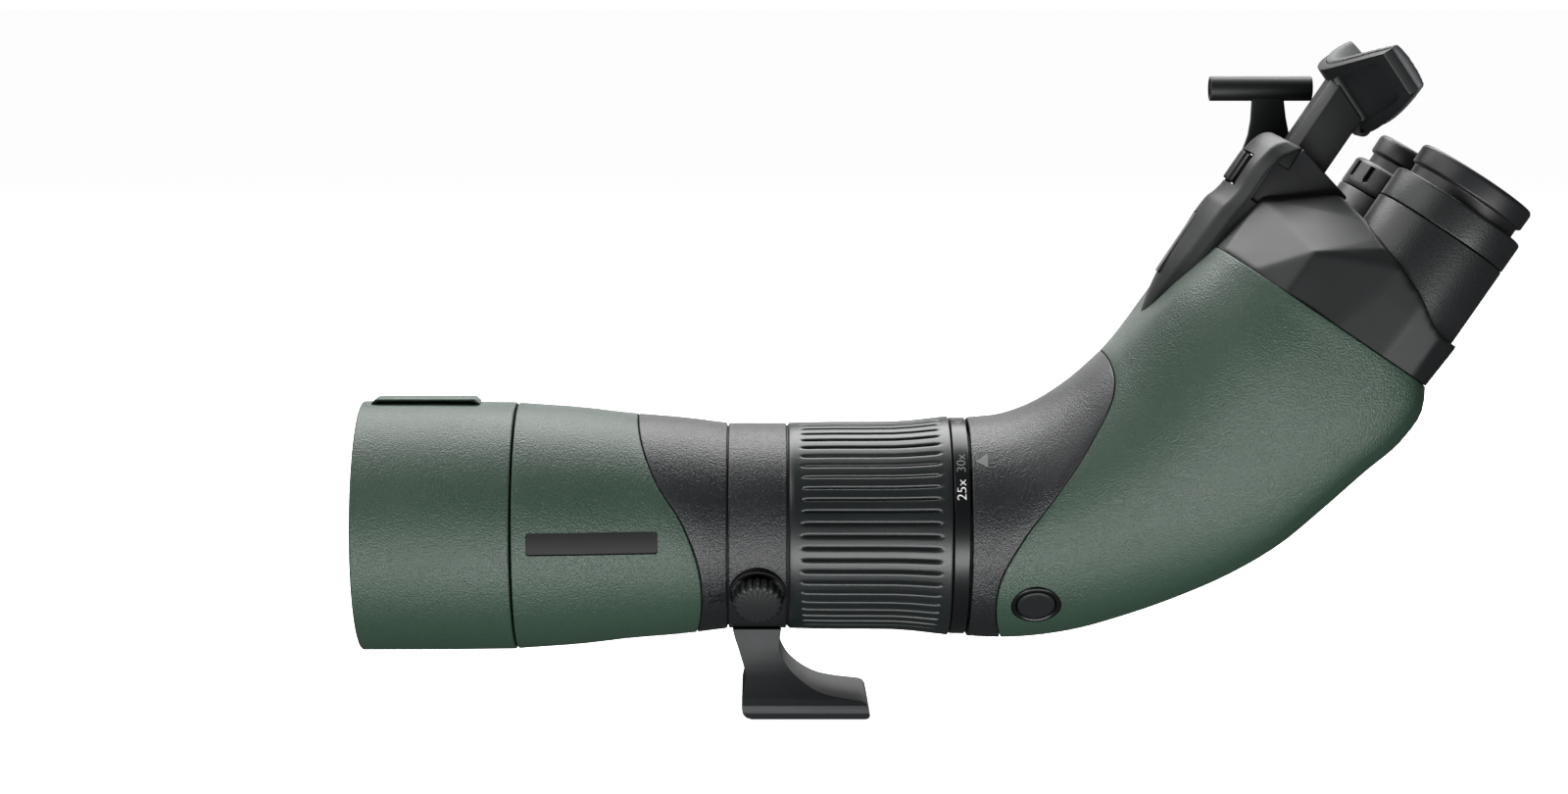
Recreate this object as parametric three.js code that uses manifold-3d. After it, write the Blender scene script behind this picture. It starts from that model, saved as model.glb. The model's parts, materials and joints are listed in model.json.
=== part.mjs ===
// Angled spotting scope with a two-eye eyepiece, in millimetres, +Z up.
// +X runs from the objective to the user. The origin is the middle of the tripod foot's flat underside.
import * as THREE from "three";
import { ConvexGeometry } from "three/addons/geometries/ConvexGeometry.js";
import { mergeVertices } from "three/addons/utils/BufferGeometryUtils.js";
import Module from "manifold-3d";

const wasm = await Module();
wasm.setup();

// Driving dimensions
const GAP = 0.3; // clearance between neighbouring pieces
const AXIS_Z = 65.2; // height of the objective barrel's axis over the foot
const FACETS = 36; // round the large turned pieces
const SMALL_FACETS = 16; // round the small turned pieces

const HOOD = { front: -153.9, back: -100.3, r: 43.3, bore: 40.6, lip: 38.6 };
const BARREL = { front: -147, step: -100.4, waist: -30, back: 49, r: 39.9, neckR: 31.4, wall: 2 };
const COLLAR = { front: -26.6, back: -6.8, r: 35.7 };
const KNOB = { x: -16.7, r: 8.5, base: 37.4, top: 43.2, flutes: 20, belowDeg: 30 };
const FOOT = { front: -22, back: 22.2, halfWidth: 20.5, plate: 6, neckFront: -20.8, neckBack: -8.5 };
const FOCUS = { front: -5.4, back: 49.3, r: 36.6, ribs: 50, coreR: 34.2, bore: 31.8 };
const ZOOM = { front: 49.7, back: 55.2, r: 37.7, bore: 33.2 };
const OCULAR = { x: 55.6, r: 37.9, armour: 3, casting: 2.5 };
const HEAD = { x: 186, z: 132.5, tiltDeg: 33.7 }; // middle of the seam under the eyepieces, and their lean
const EYE = { halfSpacing: 36, r: 23.85, base: 14, top: 44.7, ringTop: 55.7, inMm: 8, outMm: 0.5 };
const CUP = { r: 21.05, neckR: 19.75, shoulder: 59.3, top: 66.7 };
const REST = { back: -57.4, wheelX: -60.9, wheelR: 4.6 };
const PAD = { x: -59.3, h: 70.1, tiltDeg: -22, halfLength: 42, rise: 14.5 };

const rad = THREE.MathUtils.degToRad;
const BEND = rad(90 - HEAD.tiltDeg); // angle through which the ocular body turns
const V2 = (x, y) => new THREE.Vector2(x, y);
const V3 = (x, y, z) => new THREE.Vector3(x, y, z);

// Booleans
function solid(geometry) {
  const bare = geometry.clone();
  bare.deleteAttribute("normal");
  bare.deleteAttribute("uv");
  const merged = mergeVertices(bare, 1e-4);
  return new wasm.Manifold(
    new wasm.Mesh({
      numProp: 3,
      vertProperties: merged.attributes.position.array,
      triVerts: new Uint32Array(merged.index.array),
    }),
  );
}

function geometryOf(body) {
  const mesh = body.getMesh();
  return new THREE.BufferGeometry()
    .setAttribute("position", new THREE.BufferAttribute(mesh.vertProperties, 3))
    .setIndex(new THREE.BufferAttribute(mesh.triVerts, 1));
}

function cut(base, ...tools) {
  return geometryOf(tools.reduce((body, tool) => body.subtract(solid(tool)), solid(base)));
}

function join(first, ...others) {
  return geometryOf(others.reduce((body, other) => body.add(solid(other)), solid(first)));
}

function common(first, ...others) {
  return geometryOf(others.reduce((body, other) => body.intersect(solid(other)), solid(first)));
}

// Simple shapes
// A turned piece about +Y: pairs of radius and place along the axis, as one closed outline.
function turned(outline, facets = FACETS) {
  const points = outline.map(([r, along]) => V2(r, along));
  const onAxis = points[0].x === 0 && points.at(-1).x === 0;
  if (THREE.ShapeUtils.area(points) < 0) points.reverse();
  if (!onAxis) points.push(points[0].clone());
  return new THREE.LatheGeometry(points, facets);
}

function tube(inner, outer, from, to, facets) {
  return turned([[inner, from], [outer, from], [outer, to], [inner, to]], facets);
}

function rod(r, from, to, facets) {
  return turned([[0, from], [r, from], [r, to], [0, to]], facets);
}

// A block given by its lowest and highest corner.
function block(low, high) {
  const size = high.map((value, i) => value - low[i]);
  return new THREE.BoxGeometry(...size).translate(...low.map((value, i) => value + size[i] / 2));
}

// A flat outline in x and z, drawn out along y.
function slab(points, yFrom, yTo) {
  const shape = new THREE.Shape(points.map(([x, z]) => V2(x, z)));
  return new THREE.ExtrudeGeometry(shape, { depth: yTo - yFrom, bevelEnabled: false, curveSegments: 8 })
    .rotateX(Math.PI / 2)
    .translate(0, yTo, 0);
}

// A flat outline in y and z, drawn out along x.
function sheet(points, xFrom, xTo) {
  const shape = new THREE.Shape(points.map(([y, z]) => V2(y, z)));
  return new THREE.ExtrudeGeometry(shape, { depth: xTo - xFrom, bevelEnabled: false })
    .rotateZ(Math.PI / 2)
    .rotateY(Math.PI / 2)
    .translate(xFrom, 0, 0);
}

function smooth(points, count) {
  return new THREE.SplineCurve(points.map(([a, b]) => V2(a, b))).getPoints(count).map((p) => [p.x, p.y]);
}

function mix(a, b, t) {
  return a + (b - a) * t;
}

// Materials
function finish(color, roughness, metalness = 0) {
  return new THREE.MeshStandardMaterial({ color, roughness, metalness });
}
const GREEN_ARMOUR = finish("#4b6152", 0.75);
const CHARCOAL_ARMOUR = finish("#3a3b3e", 0.75);
const GRIP_RUBBER = finish("#2f3a37", 0.7);
const BLACK_SATIN = finish("#1c1e1f", 0.35, 0.2);
const MATTE_BLACK = finish("#2b2d2f", 0.6);
const ANODISED = finish("#202224", 0.45, 0.8);
const STEEL = finish("#9a9c9e", 0.35, 1);
const GLASS = finish("#9fb4bd", 0.05);
const SOFT_RUBBER = finish("#1b1c1d", 0.9);

const scope = new THREE.Group();
const barrel = new THREE.Group(); // its +Y is the optical axis, its +X faces the near side
barrel.position.set(0, 0, AXIS_Z);
barrel.rotation.z = -Math.PI / 2;
const head = new THREE.Group(); // its +Z is the eyepieces' axis, its +X points down at their back
head.position.set(HEAD.x, 0, HEAD.z);
head.rotation.y = rad(HEAD.tiltDeg);
scope.add(barrel, head);

function piece(group, name, geometry, material) {
  const mesh = new THREE.Mesh(geometry, material);
  mesh.name = name;
  group.add(mesh);
  return mesh;
}

// Objective barrel
const ARMOUR_LINE = [[-99.5, 42.8], [-75.5, 41.0], [-62, 39.4], [-41.5, 37.6], [-27.2, 35.8]];

function barrelTube() {
  const { front, step, waist, back, r, neckR, wall } = BARREL;
  return turned([
    [r, front], [r, step], [neckR + 5, step + 0.4], [neckR + 4, -60], [neckR, waist], [neckR, back],
    [neckR - wall, back], [neckR - wall, waist], [neckR + 4 - wall, -60], [neckR + 3, step],
    [r - wall, step - 4], [r - wall, front],
  ]);
}

// Distance from the barrel's axis to the armour's skin, less an inset.
function armourSolid(inset) {
  const skin = ARMOUR_LINE.map(([along, r]) => [r - inset, along]);
  return turned([[0, ARMOUR_LINE[0][0]], ...skin, [0, ARMOUR_LINE.at(-1)[0]]]);
}

function barrelCore() {
  const { step, waist, neckR } = BARREL;
  return turned([
    [0, step - 2], [neckR + 5 + GAP, step - 2], [neckR + 4 + GAP, -60], [neckR + GAP, waist],
    [neckR + GAP, waist + 6], [0, waist + 6],
  ]);
}

// The green and the charcoal armour meet on a swept line, given by place along the barrel and height.
const SWEEP = smooth([[-59, 44], [-55.9, 31], [-50.1, 18.5], [-43.3, 8.5], [-39.1, -1], [-36.4, -11],
  [-35.7, -21], [-36.2, -29], [-39.5, -44]], 16);

function sweepCutter(sign) {
  const edge = SWEEP.map(([x, z]) => [x - (sign * GAP) / 2, z]);
  const outer = sign * 80 - 50;
  return slab([...edge, [outer, -44], [outer, 44]], -60, 60).rotateZ(Math.PI / 2);
}

const BADGE = { from: -94.6, to: -50.4, z: -3.2, height: 7.8, depth: 1.4 };

function badgeBlock(grow) {
  const half = BADGE.height / 2 + grow;
  return block([30, BADGE.from - grow, BADGE.z - half], [50, BADGE.to + grow, BADGE.z + half]);
}

function armourFront() {
  const recess = cut(badgeBlock(GAP), armourSolid(BADGE.depth + GAP));
  return cut(armourSolid(0), barrelCore(), sweepCutter(1), recess);
}

function armourRear() {
  return cut(armourSolid(0), barrelCore(), sweepCutter(-1));
}

function nameBadge() {
  return cut(common(badgeBlock(0), armourSolid(0.3)), armourSolid(BADGE.depth));
}

piece(barrel, "objective_barrel", barrelTube(), ANODISED);
piece(barrel, "objective_armour_front", armourFront(), GREEN_ARMOUR);
piece(barrel, "objective_armour_rear", armourRear(), CHARCOAL_ARMOUR);
piece(barrel, "blank_badge", nameBadge(), BLACK_SATIN);

// Objective lenses and their cell
function lens(r, front, back, frontBulge, backBulge) {
  return turned([
    [0, front - frontBulge], [r * 0.5, front - frontBulge * 0.75], [r, front], [r, back],
    [r * 0.5, back + backBulge * 0.75], [0, back + backBulge],
  ], SMALL_FACETS);
}

const LENS_R = 32.5;
piece(barrel, "objective_cell", turned([
  [37.6, -146], [37.6, -118], [34.5, -118], [34.5, -120], [LENS_R + GAP, -122], [LENS_R + GAP, -137.6],
  [31, -138], [31, -139.5], [34.8, -141.5], [34.8, -146],
], 28), ANODISED);
piece(barrel, "objective_lens_front", lens(LENS_R, -137.2, -132, 0.1, 1.5), GLASS);
piece(barrel, "objective_lens_rear", lens(LENS_R, -129.4, -123, 0.6, -1.2), GLASS);
piece(barrel, "objective_lens_ring", tube(30.6, 34.2, -120, -116.8, 24), ANODISED);

// Sliding sunshade
function hood() {
  const { front, back, r, bore, lip } = HOOD;
  return turned([
    [r - 1, front], [r, front + 1], [r - 0.3, back - 0.6], [r - 0.7, back], [bore, back],
    [bore, front + 4.5], [lip, front + 3], [lip, front + 1.2], [lip + 1, front],
  ], 40);
}

function sightRail(inset, skin) {
  const base = HOOD.r + skin;
  return slab([[-150 + inset, base], [-113 - inset, base], [-114.6, base + 1.7], [-148.2, base + 1.7]],
    inset - 5, 5 - inset).rotateZ(Math.PI / 2);
}
piece(barrel, "sunshade_hood", hood(), GREEN_ARMOUR);
piece(barrel, "hood_sight_rail", sightRail(0, 0.05), GREEN_ARMOUR);

// Focusing lens inside the barrel, moved by the focusing ring
piece(barrel, "focus_lens_cell", turned([
  [20.4, -16], [29, -16], [29, -2], [20.4, -2],
], 24), ANODISED);
piece(barrel, "focus_lens", lens(20, -11.5, -8, 1, 1.2), GLASS);

// Tripod collar, clamp knob and foot
const clamp = new THREE.Group(); // its +Y is the clamp screw's axis, pointing out of the collar
clamp.position.set(KNOB.x, 0, AXIS_Z);
clamp.quaternion.setFromUnitVectors(
  V3(0, 1, 0),
  V3(0, -Math.cos(rad(KNOB.belowDeg)), -Math.sin(rad(KNOB.belowDeg))),
);
scope.add(clamp);

// Moves a shape from the clamp's own frame to the frame that the group stands in.
function onClamp(geometry) {
  return geometry.applyQuaternion(clamp.quaternion).translate(KNOB.x, 0, AXIS_Z);
}

function collar() {
  const { front, back, r } = COLLAR;
  const ring = tube(BARREL.neckR + GAP, r, front, back).rotateZ(-Math.PI / 2).translate(0, 0, AXIS_Z);
  const boss = onClamp(rod(9.4, 33, 36.9, SMALL_FACETS));
  const bore = onClamp(rod(5, 28, 36, SMALL_FACETS));
  const throat = onClamp(rod(2.3, 35, 40, SMALL_FACETS));
  const holes = [-1, 1].map((side) => rod(2.4, 28, 33.6, 12).rotateX(Math.PI / 2)
    .translate(-14.6, side * 8, 0));
  return cut(join(ring, boss), bore, throat, ...holes, coreOfCollar());
}

function coreOfCollar() {
  return rod(BARREL.neckR + GAP, -40, 10).rotateZ(-Math.PI / 2).translate(0, 0, AXIS_Z);
}

function knob() {
  const { r, base, top, flutes } = KNOB;
  const body = turned([[0, base], [r - 0.6, base], [r, base + 0.8], [r, top - 1.4], [r - 1.2, top - 0.3],
    [0, top]], flutes * 2);
  const grooves = [];
  for (let i = 0; i < flutes; i++) {
    const groove = rod(0.65, base - 1, top + 1, 4).translate(r + 0.15, 0, 0);
    grooves.push(groove.rotateY(((i + 0.5) * 2 * Math.PI) / flutes));
  }
  return cut(body, rod(2.5, base - 1, top - 2.5, SMALL_FACETS), ...grooves);
}

piece(scope, "tripod_collar", collar(), CHARCOAL_ARMOUR);
piece(clamp, "clamp_knob", knob(), MATTE_BLACK);
piece(clamp, "clamp_screw", rod(2, 33, 40.4, 14), STEEL);
piece(clamp, "brake_pad", cut(rod(4.7, 32.2, 35.3, SMALL_FACETS), rod(2.3, 32, 36, SMALL_FACETS)),
  SOFT_RUBBER);

function footSide() {
  const { front, back, plate, neckFront, neckBack } = FOOT;
  const nose = smooth([[neckFront, 30], [-19.4, 22.3], [-18.4, 17], [-19.5, 13], [front, 6.5]], 8);
  const throat = smooth([[back - 1.6, plate], [10, plate + 1.2], [0, plate + 6], [-7, 16], [neckBack, 23],
    [neckBack, 30]], 10);
  return [...nose, [front + 0.4, 1], [front + 1.6, 0], [back - 0.8, 0], [back, 1.2], [back, plate - 1],
    ...throat];
}

function footFront() {
  const { halfWidth } = FOOT;
  const flare = smooth([[halfWidth - 2.2, 7.4], [16.5, 10], [14.4, 15], [13.6, 22], [13.8, 31]], 8);
  const half = [[halfWidth - 3, 0], [halfWidth, 3.2], [halfWidth, 5.6], ...flare];
  return [...half, ...half.map(([y, z]) => [-y, z]).reverse()];
}

function foot() {
  const saddle = rod(COLLAR.r + GAP, -40, 10).rotateZ(-Math.PI / 2).translate(0, 0, AXIS_Z);
  const tools = [saddle, rod(7, -1, 5, SMALL_FACETS).rotateX(Math.PI / 2).translate(11.5, 0, 0)];
  for (const side of [-1, 1]) {
    tools.push(rod(2.3, -1, 60, 12).rotateX(Math.PI / 2).translate(-14.6, side * 8, 0));
    tools.push(rod(3.9, -1, 6, 16).rotateX(Math.PI / 2).translate(-14.6, side * 8, 0));
  }
  return cut(common(slab(footSide(), -25, 25), sheet(footFront(), -25, 25)), ...tools);
}

piece(scope, "tripod_foot", foot(), CHARCOAL_ARMOUR);
piece(scope, "foot_thread_insert", cut(rod(6.7, 0.3, 4.6, SMALL_FACETS), rod(4.1, 0, 3.8, 20))
  .rotateX(Math.PI / 2).translate(11.5, 0, 0), STEEL);
for (const [i, side] of [-1, 1].entries())
  piece(scope, `foot_screw_${i + 1}`, join(rod(3.5, 2, 5.6, 16), rod(2, 4, 33.2, 12))
    .rotateX(Math.PI / 2).translate(-14.6, side * 8, 0), STEEL);

// Focusing ring
function grip() {
  const { front, back, r, ribs, coreR } = FOCUS;
  const body = turned([[coreR + GAP, front], [r - 1, front], [r - 1, front + 3], [r + 0.2, 43], [r + 1.1, 44],
    [r + 1.1, back], [coreR + GAP, back]], ribs);
  const bars = [];
  for (let i = 0; i < ribs; i++) {
    const outline = [[front + 2.2, r - 2], [back - 4, r - 2], [back - 5.5, r + 0.9], [front + 4, r - 0.25]];
    const bar = slab(outline, -1.1, 1.1).rotateZ(Math.PI / 2);
    bars.push(bar.rotateY(((i + 0.5) * 2 * Math.PI) / ribs));
  }
  return join(body, ...bars);
}
piece(barrel, "focus_ring_core", tube(FOCUS.bore, FOCUS.coreR, FOCUS.front, FOCUS.back - 1.5, 40), ANODISED);
piece(barrel, "focus_ring_grip", grip(), GRIP_RUBBER);

// Zoom ring and bayonet
piece(barrel, "zoom_ring", turned([
  [ZOOM.bore, ZOOM.front], [ZOOM.r - 0.4, ZOOM.front], [ZOOM.r, ZOOM.front + 0.5], [ZOOM.r, ZOOM.back - 0.5],
  [ZOOM.r - 0.4, ZOOM.back], [ZOOM.bore, ZOOM.back],
], 40), BLACK_SATIN);
piece(barrel, "bayonet_flange", turned([
  [25, 49.4], [32.6, 49.4], [32.6, 53.4], [30.4, 53.4], [30.4, 57], [28.4, 57], [28.4, 53.4], [25, 53.4],
], 24), STEEL);
piece(barrel, "bayonet_ring", turned([
  [27, 57.4], [27, 66], [31.6, 66], [31.6, 56.4], [32.8, 56.4], [32.8, 54], [30.8, 54], [30.8, 57.4],
], 24), STEEL);

// Ocular body: a loft whose sections all pass through one pivot line above the bend
const PIVOT = {
  x: OCULAR.x,
  z: HEAD.z + (HEAD.x - OCULAR.x) / Math.tan(BEND),
};
// Distance from the pivot to the crest and to the belly, at even steps of the bend.
const CREST = new THREE.SplineCurve([116.4, 113.8, 107.4, 101.2, 97.8, 99.7].map((r, i) => V2(i, r)));
const BELLY = new THREE.SplineCurve([192.6, 193.8, 191.2, 188.6, 186.0, 181.5].map((r, i) => V2(i, r)));
// The seam's half section: share of the way from crest to belly, and half width.
const SEAM_SECTION = [[0, 0], [0, 22], [0.03, 36], [0.17, 49], [0.34, 57], [0.49, 59.8], [0.67, 60.5],
  [0.83, 58.6], [0.94, 52.5], [1, 37], [0.98, 0]];

function sectionCurve(share) {
  const turn = THREE.MathUtils.smoothstep(share, 0, 1);
  const held = THREE.MathUtils.clamp(share, 0, 1);
  const crest = CREST.getPoint(held).y;
  const belly = BELLY.getPoint(held).y;
  const last = SEAM_SECTION.length - 1;
  const half = SEAM_SECTION.map(([down, width], i) => {
    const angle = (i / last) * Math.PI;
    const round = (1 - Math.cos(angle)) / 2;
    return V3(mix(crest, belly, mix(round, down, turn)), mix(OCULAR.r * Math.sin(angle), width, turn), 0);
  });
  const other = half.slice(1, last).reverse().map((p) => V3(p.x, -p.y, 0));
  return new THREE.CatmullRomCurve3([...half, ...other], true, "catmullrom", 0.5);
}

// A solid of the ocular body between two shares of the bend, its skin moved in by an inset.
function ocularSolid(inset, from = 0, to = 1, rings = 9, around = 32) {
  const geometry = new THREE.CylinderGeometry(1, 1, 1, around, rings);
  const place = geometry.attributes.position;
  for (let i = 0; i < place.count; i++) {
    const share = mix(from, to, place.getY(i) + 0.5);
    const across = Math.hypot(place.getX(i), place.getZ(i));
    const turn = Math.atan2(place.getZ(i), place.getX(i)) / (2 * Math.PI);
    const curve = sectionCurve(share);
    const at = (((Math.round(turn * around) / around) % 1) + 1) % 1;
    const middle = mix(curve.getPoint(0).x, curve.getPoint(0.5).x, 0.5);
    const spot = across > 0.5 ? curve.getPoint(at) : V3(middle, 0, 0);
    if (across > 0.5) {
      const along = curve.getTangent(at);
      spot.add(V3(along.y, -along.x, 0).multiplyScalar(inset));
    }
    const angle = share * BEND;
    place.setXYZ(i, PIVOT.x + spot.x * Math.sin(angle), spot.y, PIVOT.z - spot.x * Math.cos(angle));
  }
  return geometry;
}

// The charcoal and the green armour of the ocular meet on this line, seen from the side.
const OCULAR_SWEEP = smooth([[92, 142], [101.9, 129.3], [103.9, 120.7], [95.2, 98.5], [84.3, 81.8],
  [73.5, 67.1], [65.3, 50.3], [64.9, 36.7], [70, 20]], 18);

function ocularCutter(sign) {
  const edge = OCULAR_SWEEP.map(([x, z]) => [x - (sign * GAP) / 2, z]);
  const outer = sign > 0 ? 260 : 30;
  return slab([...edge, [outer, 0], [outer, 260], [92, 260]], -80, 80);
}

const latch = new THREE.Group(); // its +Y is the release button's axis, pointing outwards
const LATCH = { x: 78, z: 65.9, belowDeg: 37, bezelR: 8.5, capR: 6.5 };
latch.position.set(LATCH.x, 0, LATCH.z);
latch.quaternion.setFromUnitVectors(
  V3(0, 1, 0),
  V3(0, -Math.cos(rad(LATCH.belowDeg)), -Math.sin(rad(LATCH.belowDeg))),
);
scope.add(latch);
function latchHole(r, from) {
  return rod(r, from, 50, SMALL_FACETS).applyQuaternion(latch.quaternion).translate(LATCH.x, 0, LATCH.z);
}

const skin = ocularSolid(0, 0.002, 0.998);
const underSkin = ocularSolid(OCULAR.armour, -0.02, 1.02);
const casting = ocularSolid(OCULAR.armour + 2 * GAP, 0.03, 0.995);
const cavity = ocularSolid(OCULAR.armour + 2 * GAP + OCULAR.casting, -0.02, 1.02);
piece(scope, "ocular_front_armour", cut(skin, underSkin, ocularCutter(1)), CHARCOAL_ARMOUR);
piece(scope, "ocular_armour", cut(skin, underSkin, ocularCutter(-1), latchHole(LATCH.bezelR + GAP, 30)),
  GREEN_ARMOUR);
piece(scope, "ocular_casting", cut(casting, cavity, latchHole(LATCH.bezelR + GAP, 20)), ANODISED);

// Bayonet release button
piece(latch, "release_bezel", turned([[0, 30], [LATCH.bezelR, 30], [LATCH.bezelR, 38.9],
  [LATCH.capR + GAP, 38.9], [LATCH.capR + GAP, 31.2], [0, 31.2]], SMALL_FACETS), BLACK_SATIN);
piece(latch, "release_button", turned([[0, 35.6], [LATCH.capR, 35.6],
  [LATCH.capR, 38.6], [LATCH.capR - 0.8, 39], [0, 39.1]], SMALL_FACETS), BLACK_SATIN);

function spring() {
  const turns = 3;
  const points = [];
  for (let i = 0; i <= turns * 12; i++) {
    const angle = (i / 12) * 2 * Math.PI;
    points.push(V3(3.6 * Math.cos(angle), mix(33.1, 35, i / (turns * 12)), 3.6 * Math.sin(angle)));
  }
  const wire = new THREE.Shape().absarc(0, 0, 0.35, 0, 2 * Math.PI);
  return new THREE.ExtrudeGeometry(wire, {
    steps: turns * 12, bevelEnabled: false, curveSegments: 2, extrudePath: new THREE.CatmullRomCurve3(points),
  });
}
piece(latch, "release_spring", spring(), STEEL);

// Zoom lens group, moved by the zoom ring
piece(barrel, "zoom_lens_cell", turned([
  [12.4, 70], [20, 70], [20, 82], [12.4, 82],
], 24), ANODISED);
piece(barrel, "zoom_lens", lens(12, 73.5, 77.5, 1, 1), GLASS);

// Prisms
piece(scope, "turning_prism", new ConvexGeometry([
  [124, 57.5], [145, 63], [146, 84], [127, 84],
].flatMap(([x, z]) => [V3(x, -13, z), V3(x, 13, z)])), GLASS);

function prismPlate() {
  const outline = [[-24, -27], [-2, -46], [13, -42], [13, 42], [-2, 46], [-24, 27]];
  const shape = new THREE.Shape(outline.map(([x, y]) => V2(x, y)));
  const plate = new THREE.ExtrudeGeometry(shape, { depth: 3, bevelEnabled: false }).translate(0, 0, -16);
  return cut(plate, rod(11, -20, -10, SMALL_FACETS).rotateX(Math.PI / 2));
}
piece(head, "prism_plate", prismPlate(), ANODISED);
piece(head, "beam_splitter_prism", new ConvexGeometry([
  V3(-11, -12, -12.6), V3(11, -12, -12.6), V3(-11, 12, -12.6), V3(11, 12, -12.6),
  V3(-11, -12, 8), V3(11, -12, 8), V3(-11, 12, 8), V3(11, 12, 8),
]), GLASS);
for (const [name, side] of [["left", -1], ["right", 1]])
  piece(head, `${name}_eyepiece_prism`, new ConvexGeometry([
    V3(-11, side * 13, -12.6), V3(11, side * 13, -12.6), V3(-11, side * 13, 8), V3(11, side * 13, 8),
    V3(-11, side * 42, 12), V3(11, side * 42, 12), V3(-11, side * 42, 3), V3(11, side * 42, 3),
    V3(-11, side * 30, -12.6), V3(11, side * 30, -12.6), V3(-11, side * 26, 12), V3(11, side * 26, 12),
  ]), GLASS);

// Faceted cover under the eyepieces
const mirrored = (points) => points.flatMap(([x, y, h]) => [V3(x, y, h), V3(x, -y, h)]);

function cover() {
  const spine = new ConvexGeometry(mirrored([
    [-57, 20, 0.2], [-54, 35, 0.2], [-35, 55, 0.2], [22, 33, 0.2], [-53.4, 19, 22.1], [-31.9, 20, 37.6],
    [-21.2, 33, 33.1], [-34.9, 55.5, 15.9], [24, 33, 17.5],
  ]));
  const lobes = [-1, 1].map((side) => new ConvexGeometry([
    [-35, 55, 0.2], [-17, 59.5, 0.2], [2, 62, 0.2], [19, 57, 0.2], [26, 38, 0.2], [22, 0, 0.2],
    [-20.5, 58, 16], [-10, 60.8, 16], [3, 62.2, 16], [14.5, 59.5, 16], [22.5, 52, 16], [26.5, 38, 16],
    [-34.9, 55.5, 15.9], [-20.5, 57.5, 31.5], [-22, 33, 33.4], [-10, 60.8, 28], [3, 62.2, 22.5],
    [14.5, 59.5, 17.5], [22.5, 52, 17], [25.5, 38, 17.5], [-21, 0, 33], [24, 0, 17.5],
  ].map(([x, y, h]) => V3(x, side * y, h))));
  const aboveRim = slab([[-30, 60], [-30, 36.9], [-21.2, 33.2], [-19.3, 31.5], [-6.2, 27], [4.5, 21.4],
    [16.8, 15.9], [24.6, 16.9], [40, 17], [40, 60]], -70, 70);
  const hollow = new ConvexGeometry(mirrored([
    [-51, 14, -1], [-30, 28, -1], [-1, 57, -1], [17, 52, -1], [20, 20, -1], [-48, 13, 18.6],
    [-31, 16, 32], [-20, 29, 27.6], [-1, 57, 15.6], [15, 52, 13], [20, 30, 13],
  ]));
  const slots = [-1, 1].map((side) => {
    const wide = EYE.r + GAP;
    const floor = EYE.base - 2 * GAP;
    const centres = [EYE.halfSpacing - EYE.inMm, EYE.halfSpacing + EYE.outMm];
    const ends = centres.map((y) => rod(wide, floor, 60).rotateX(Math.PI / 2).translate(0, side * y, 0));
    const [low, high] = [centres[0] * side, centres[1] * side].sort((a, b) => a - b);
    return join(ends[0], ends[1], block([-wide, low, floor], [wide, high, 60]));
  });
  return cut(join(spine, ...lobes), aboveRim, hollow, ...slots);
}
piece(head, "eyepiece_cover", cover(), MATTE_BLACK);

// Eyepieces
const upright = (geometry) => geometry.rotateX(Math.PI / 2);
for (const [name, side] of [["left", -1], ["right", 1]]) {
  const eye = new THREE.Group();
  eye.position.y = side * EYE.halfSpacing;
  head.add(eye);
  piece(eye, `${name}_eyepiece_barrel`, upright(turned([
    [15.2, EYE.base], [EYE.r, EYE.base], [EYE.r, EYE.top], [17, EYE.top], [17, 59], [14.6, 59],
    [14.6, 45], [15.2, 44],
  ], 28)), MATTE_BLACK);
  const ringBottom = EYE.top + GAP;
  const ringShape = turned([[20.1, ringBottom], [EYE.r, ringBottom], [EYE.r, EYE.ringTop - 0.6],
    [EYE.r - 0.6, EYE.ringTop], [20.1, EYE.ringTop]], 28);
  if (side < 0) piece(eye, "left_upper_ring", upright(ringShape), MATTE_BLACK);
  else piece(eye, "right_dioptre_ring", upright(cut(ringShape, ...dioptreSlots(ringBottom))), MATTE_BLACK);
  piece(eye, `${name}_eyecup_guide`, upright(tube(17.3, 18.8, 45.2, 58.6, 24)), ANODISED);
  piece(eye, `${name}_eyecup`, upright(turned([
    [19.1, 46.5], [CUP.neckR, 46.5], [CUP.neckR, CUP.shoulder], [CUP.r, CUP.shoulder], [CUP.r, CUP.top - 1],
    [CUP.r - 1, CUP.top], [17.4, CUP.top], [16, 64.4], [14.6, 60.2], [19.1, 59.2],
  ], 24)), SOFT_RUBBER);
  piece(eye, `${name}_eye_lens`, upright(lens(14.3, 52.5, 56.5, -0.8, 1.6)), GLASS);
  piece(eye, `${name}_field_lens`, upright(lens(14.9, 17, 22, 1.2, 1.2)), GLASS);
}

function dioptreSlots(bottom) {
  const slots = [];
  const count = 14;
  for (let i = 0; i < count; i++) {
    const slot = block([EYE.r - 1, bottom + 3.4, -0.7], [EYE.r + 2, EYE.ringTop - 0.9, 0.7]);
    slots.push(slot.rotateY((i * 2 * Math.PI) / count));
  }
  return slots;
}

// Forehead rest: carrier, base wedge, thumb wheel, post and pad
function carrierSide() {
  const face = smooth([[-61.2, -33.5], [-63.5, -29.4], [-66, -15.7], [-66.5, -1.4], [-66.4, 10.6],
    [-64.7, 16.5], [-64.8, 31.1], [-63.6, 39], [-59, 43.2], [-51, 43.7]], 22);
  return [...face, [-51, 34.8], [-56.6, 34.6], [REST.back, 20], [REST.back, -34]];
}

function carrierOutline(inset) {
  const half = smooth([
    [0, -33.4], [6, -31], [12.5, -25], [17.5, -14], [20, 0], [20, 20], [19, 38], [16, 46],
  ], 16);
  const near = half.map(([y, h]) => [Math.max(y - inset, 0), h]);
  return [...near, ...near.slice(1).map(([y, h]) => [-y, h]).reverse()];
}

function inHead(geometry) {
  return geometry.rotateY(-rad(HEAD.tiltDeg));
}

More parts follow.
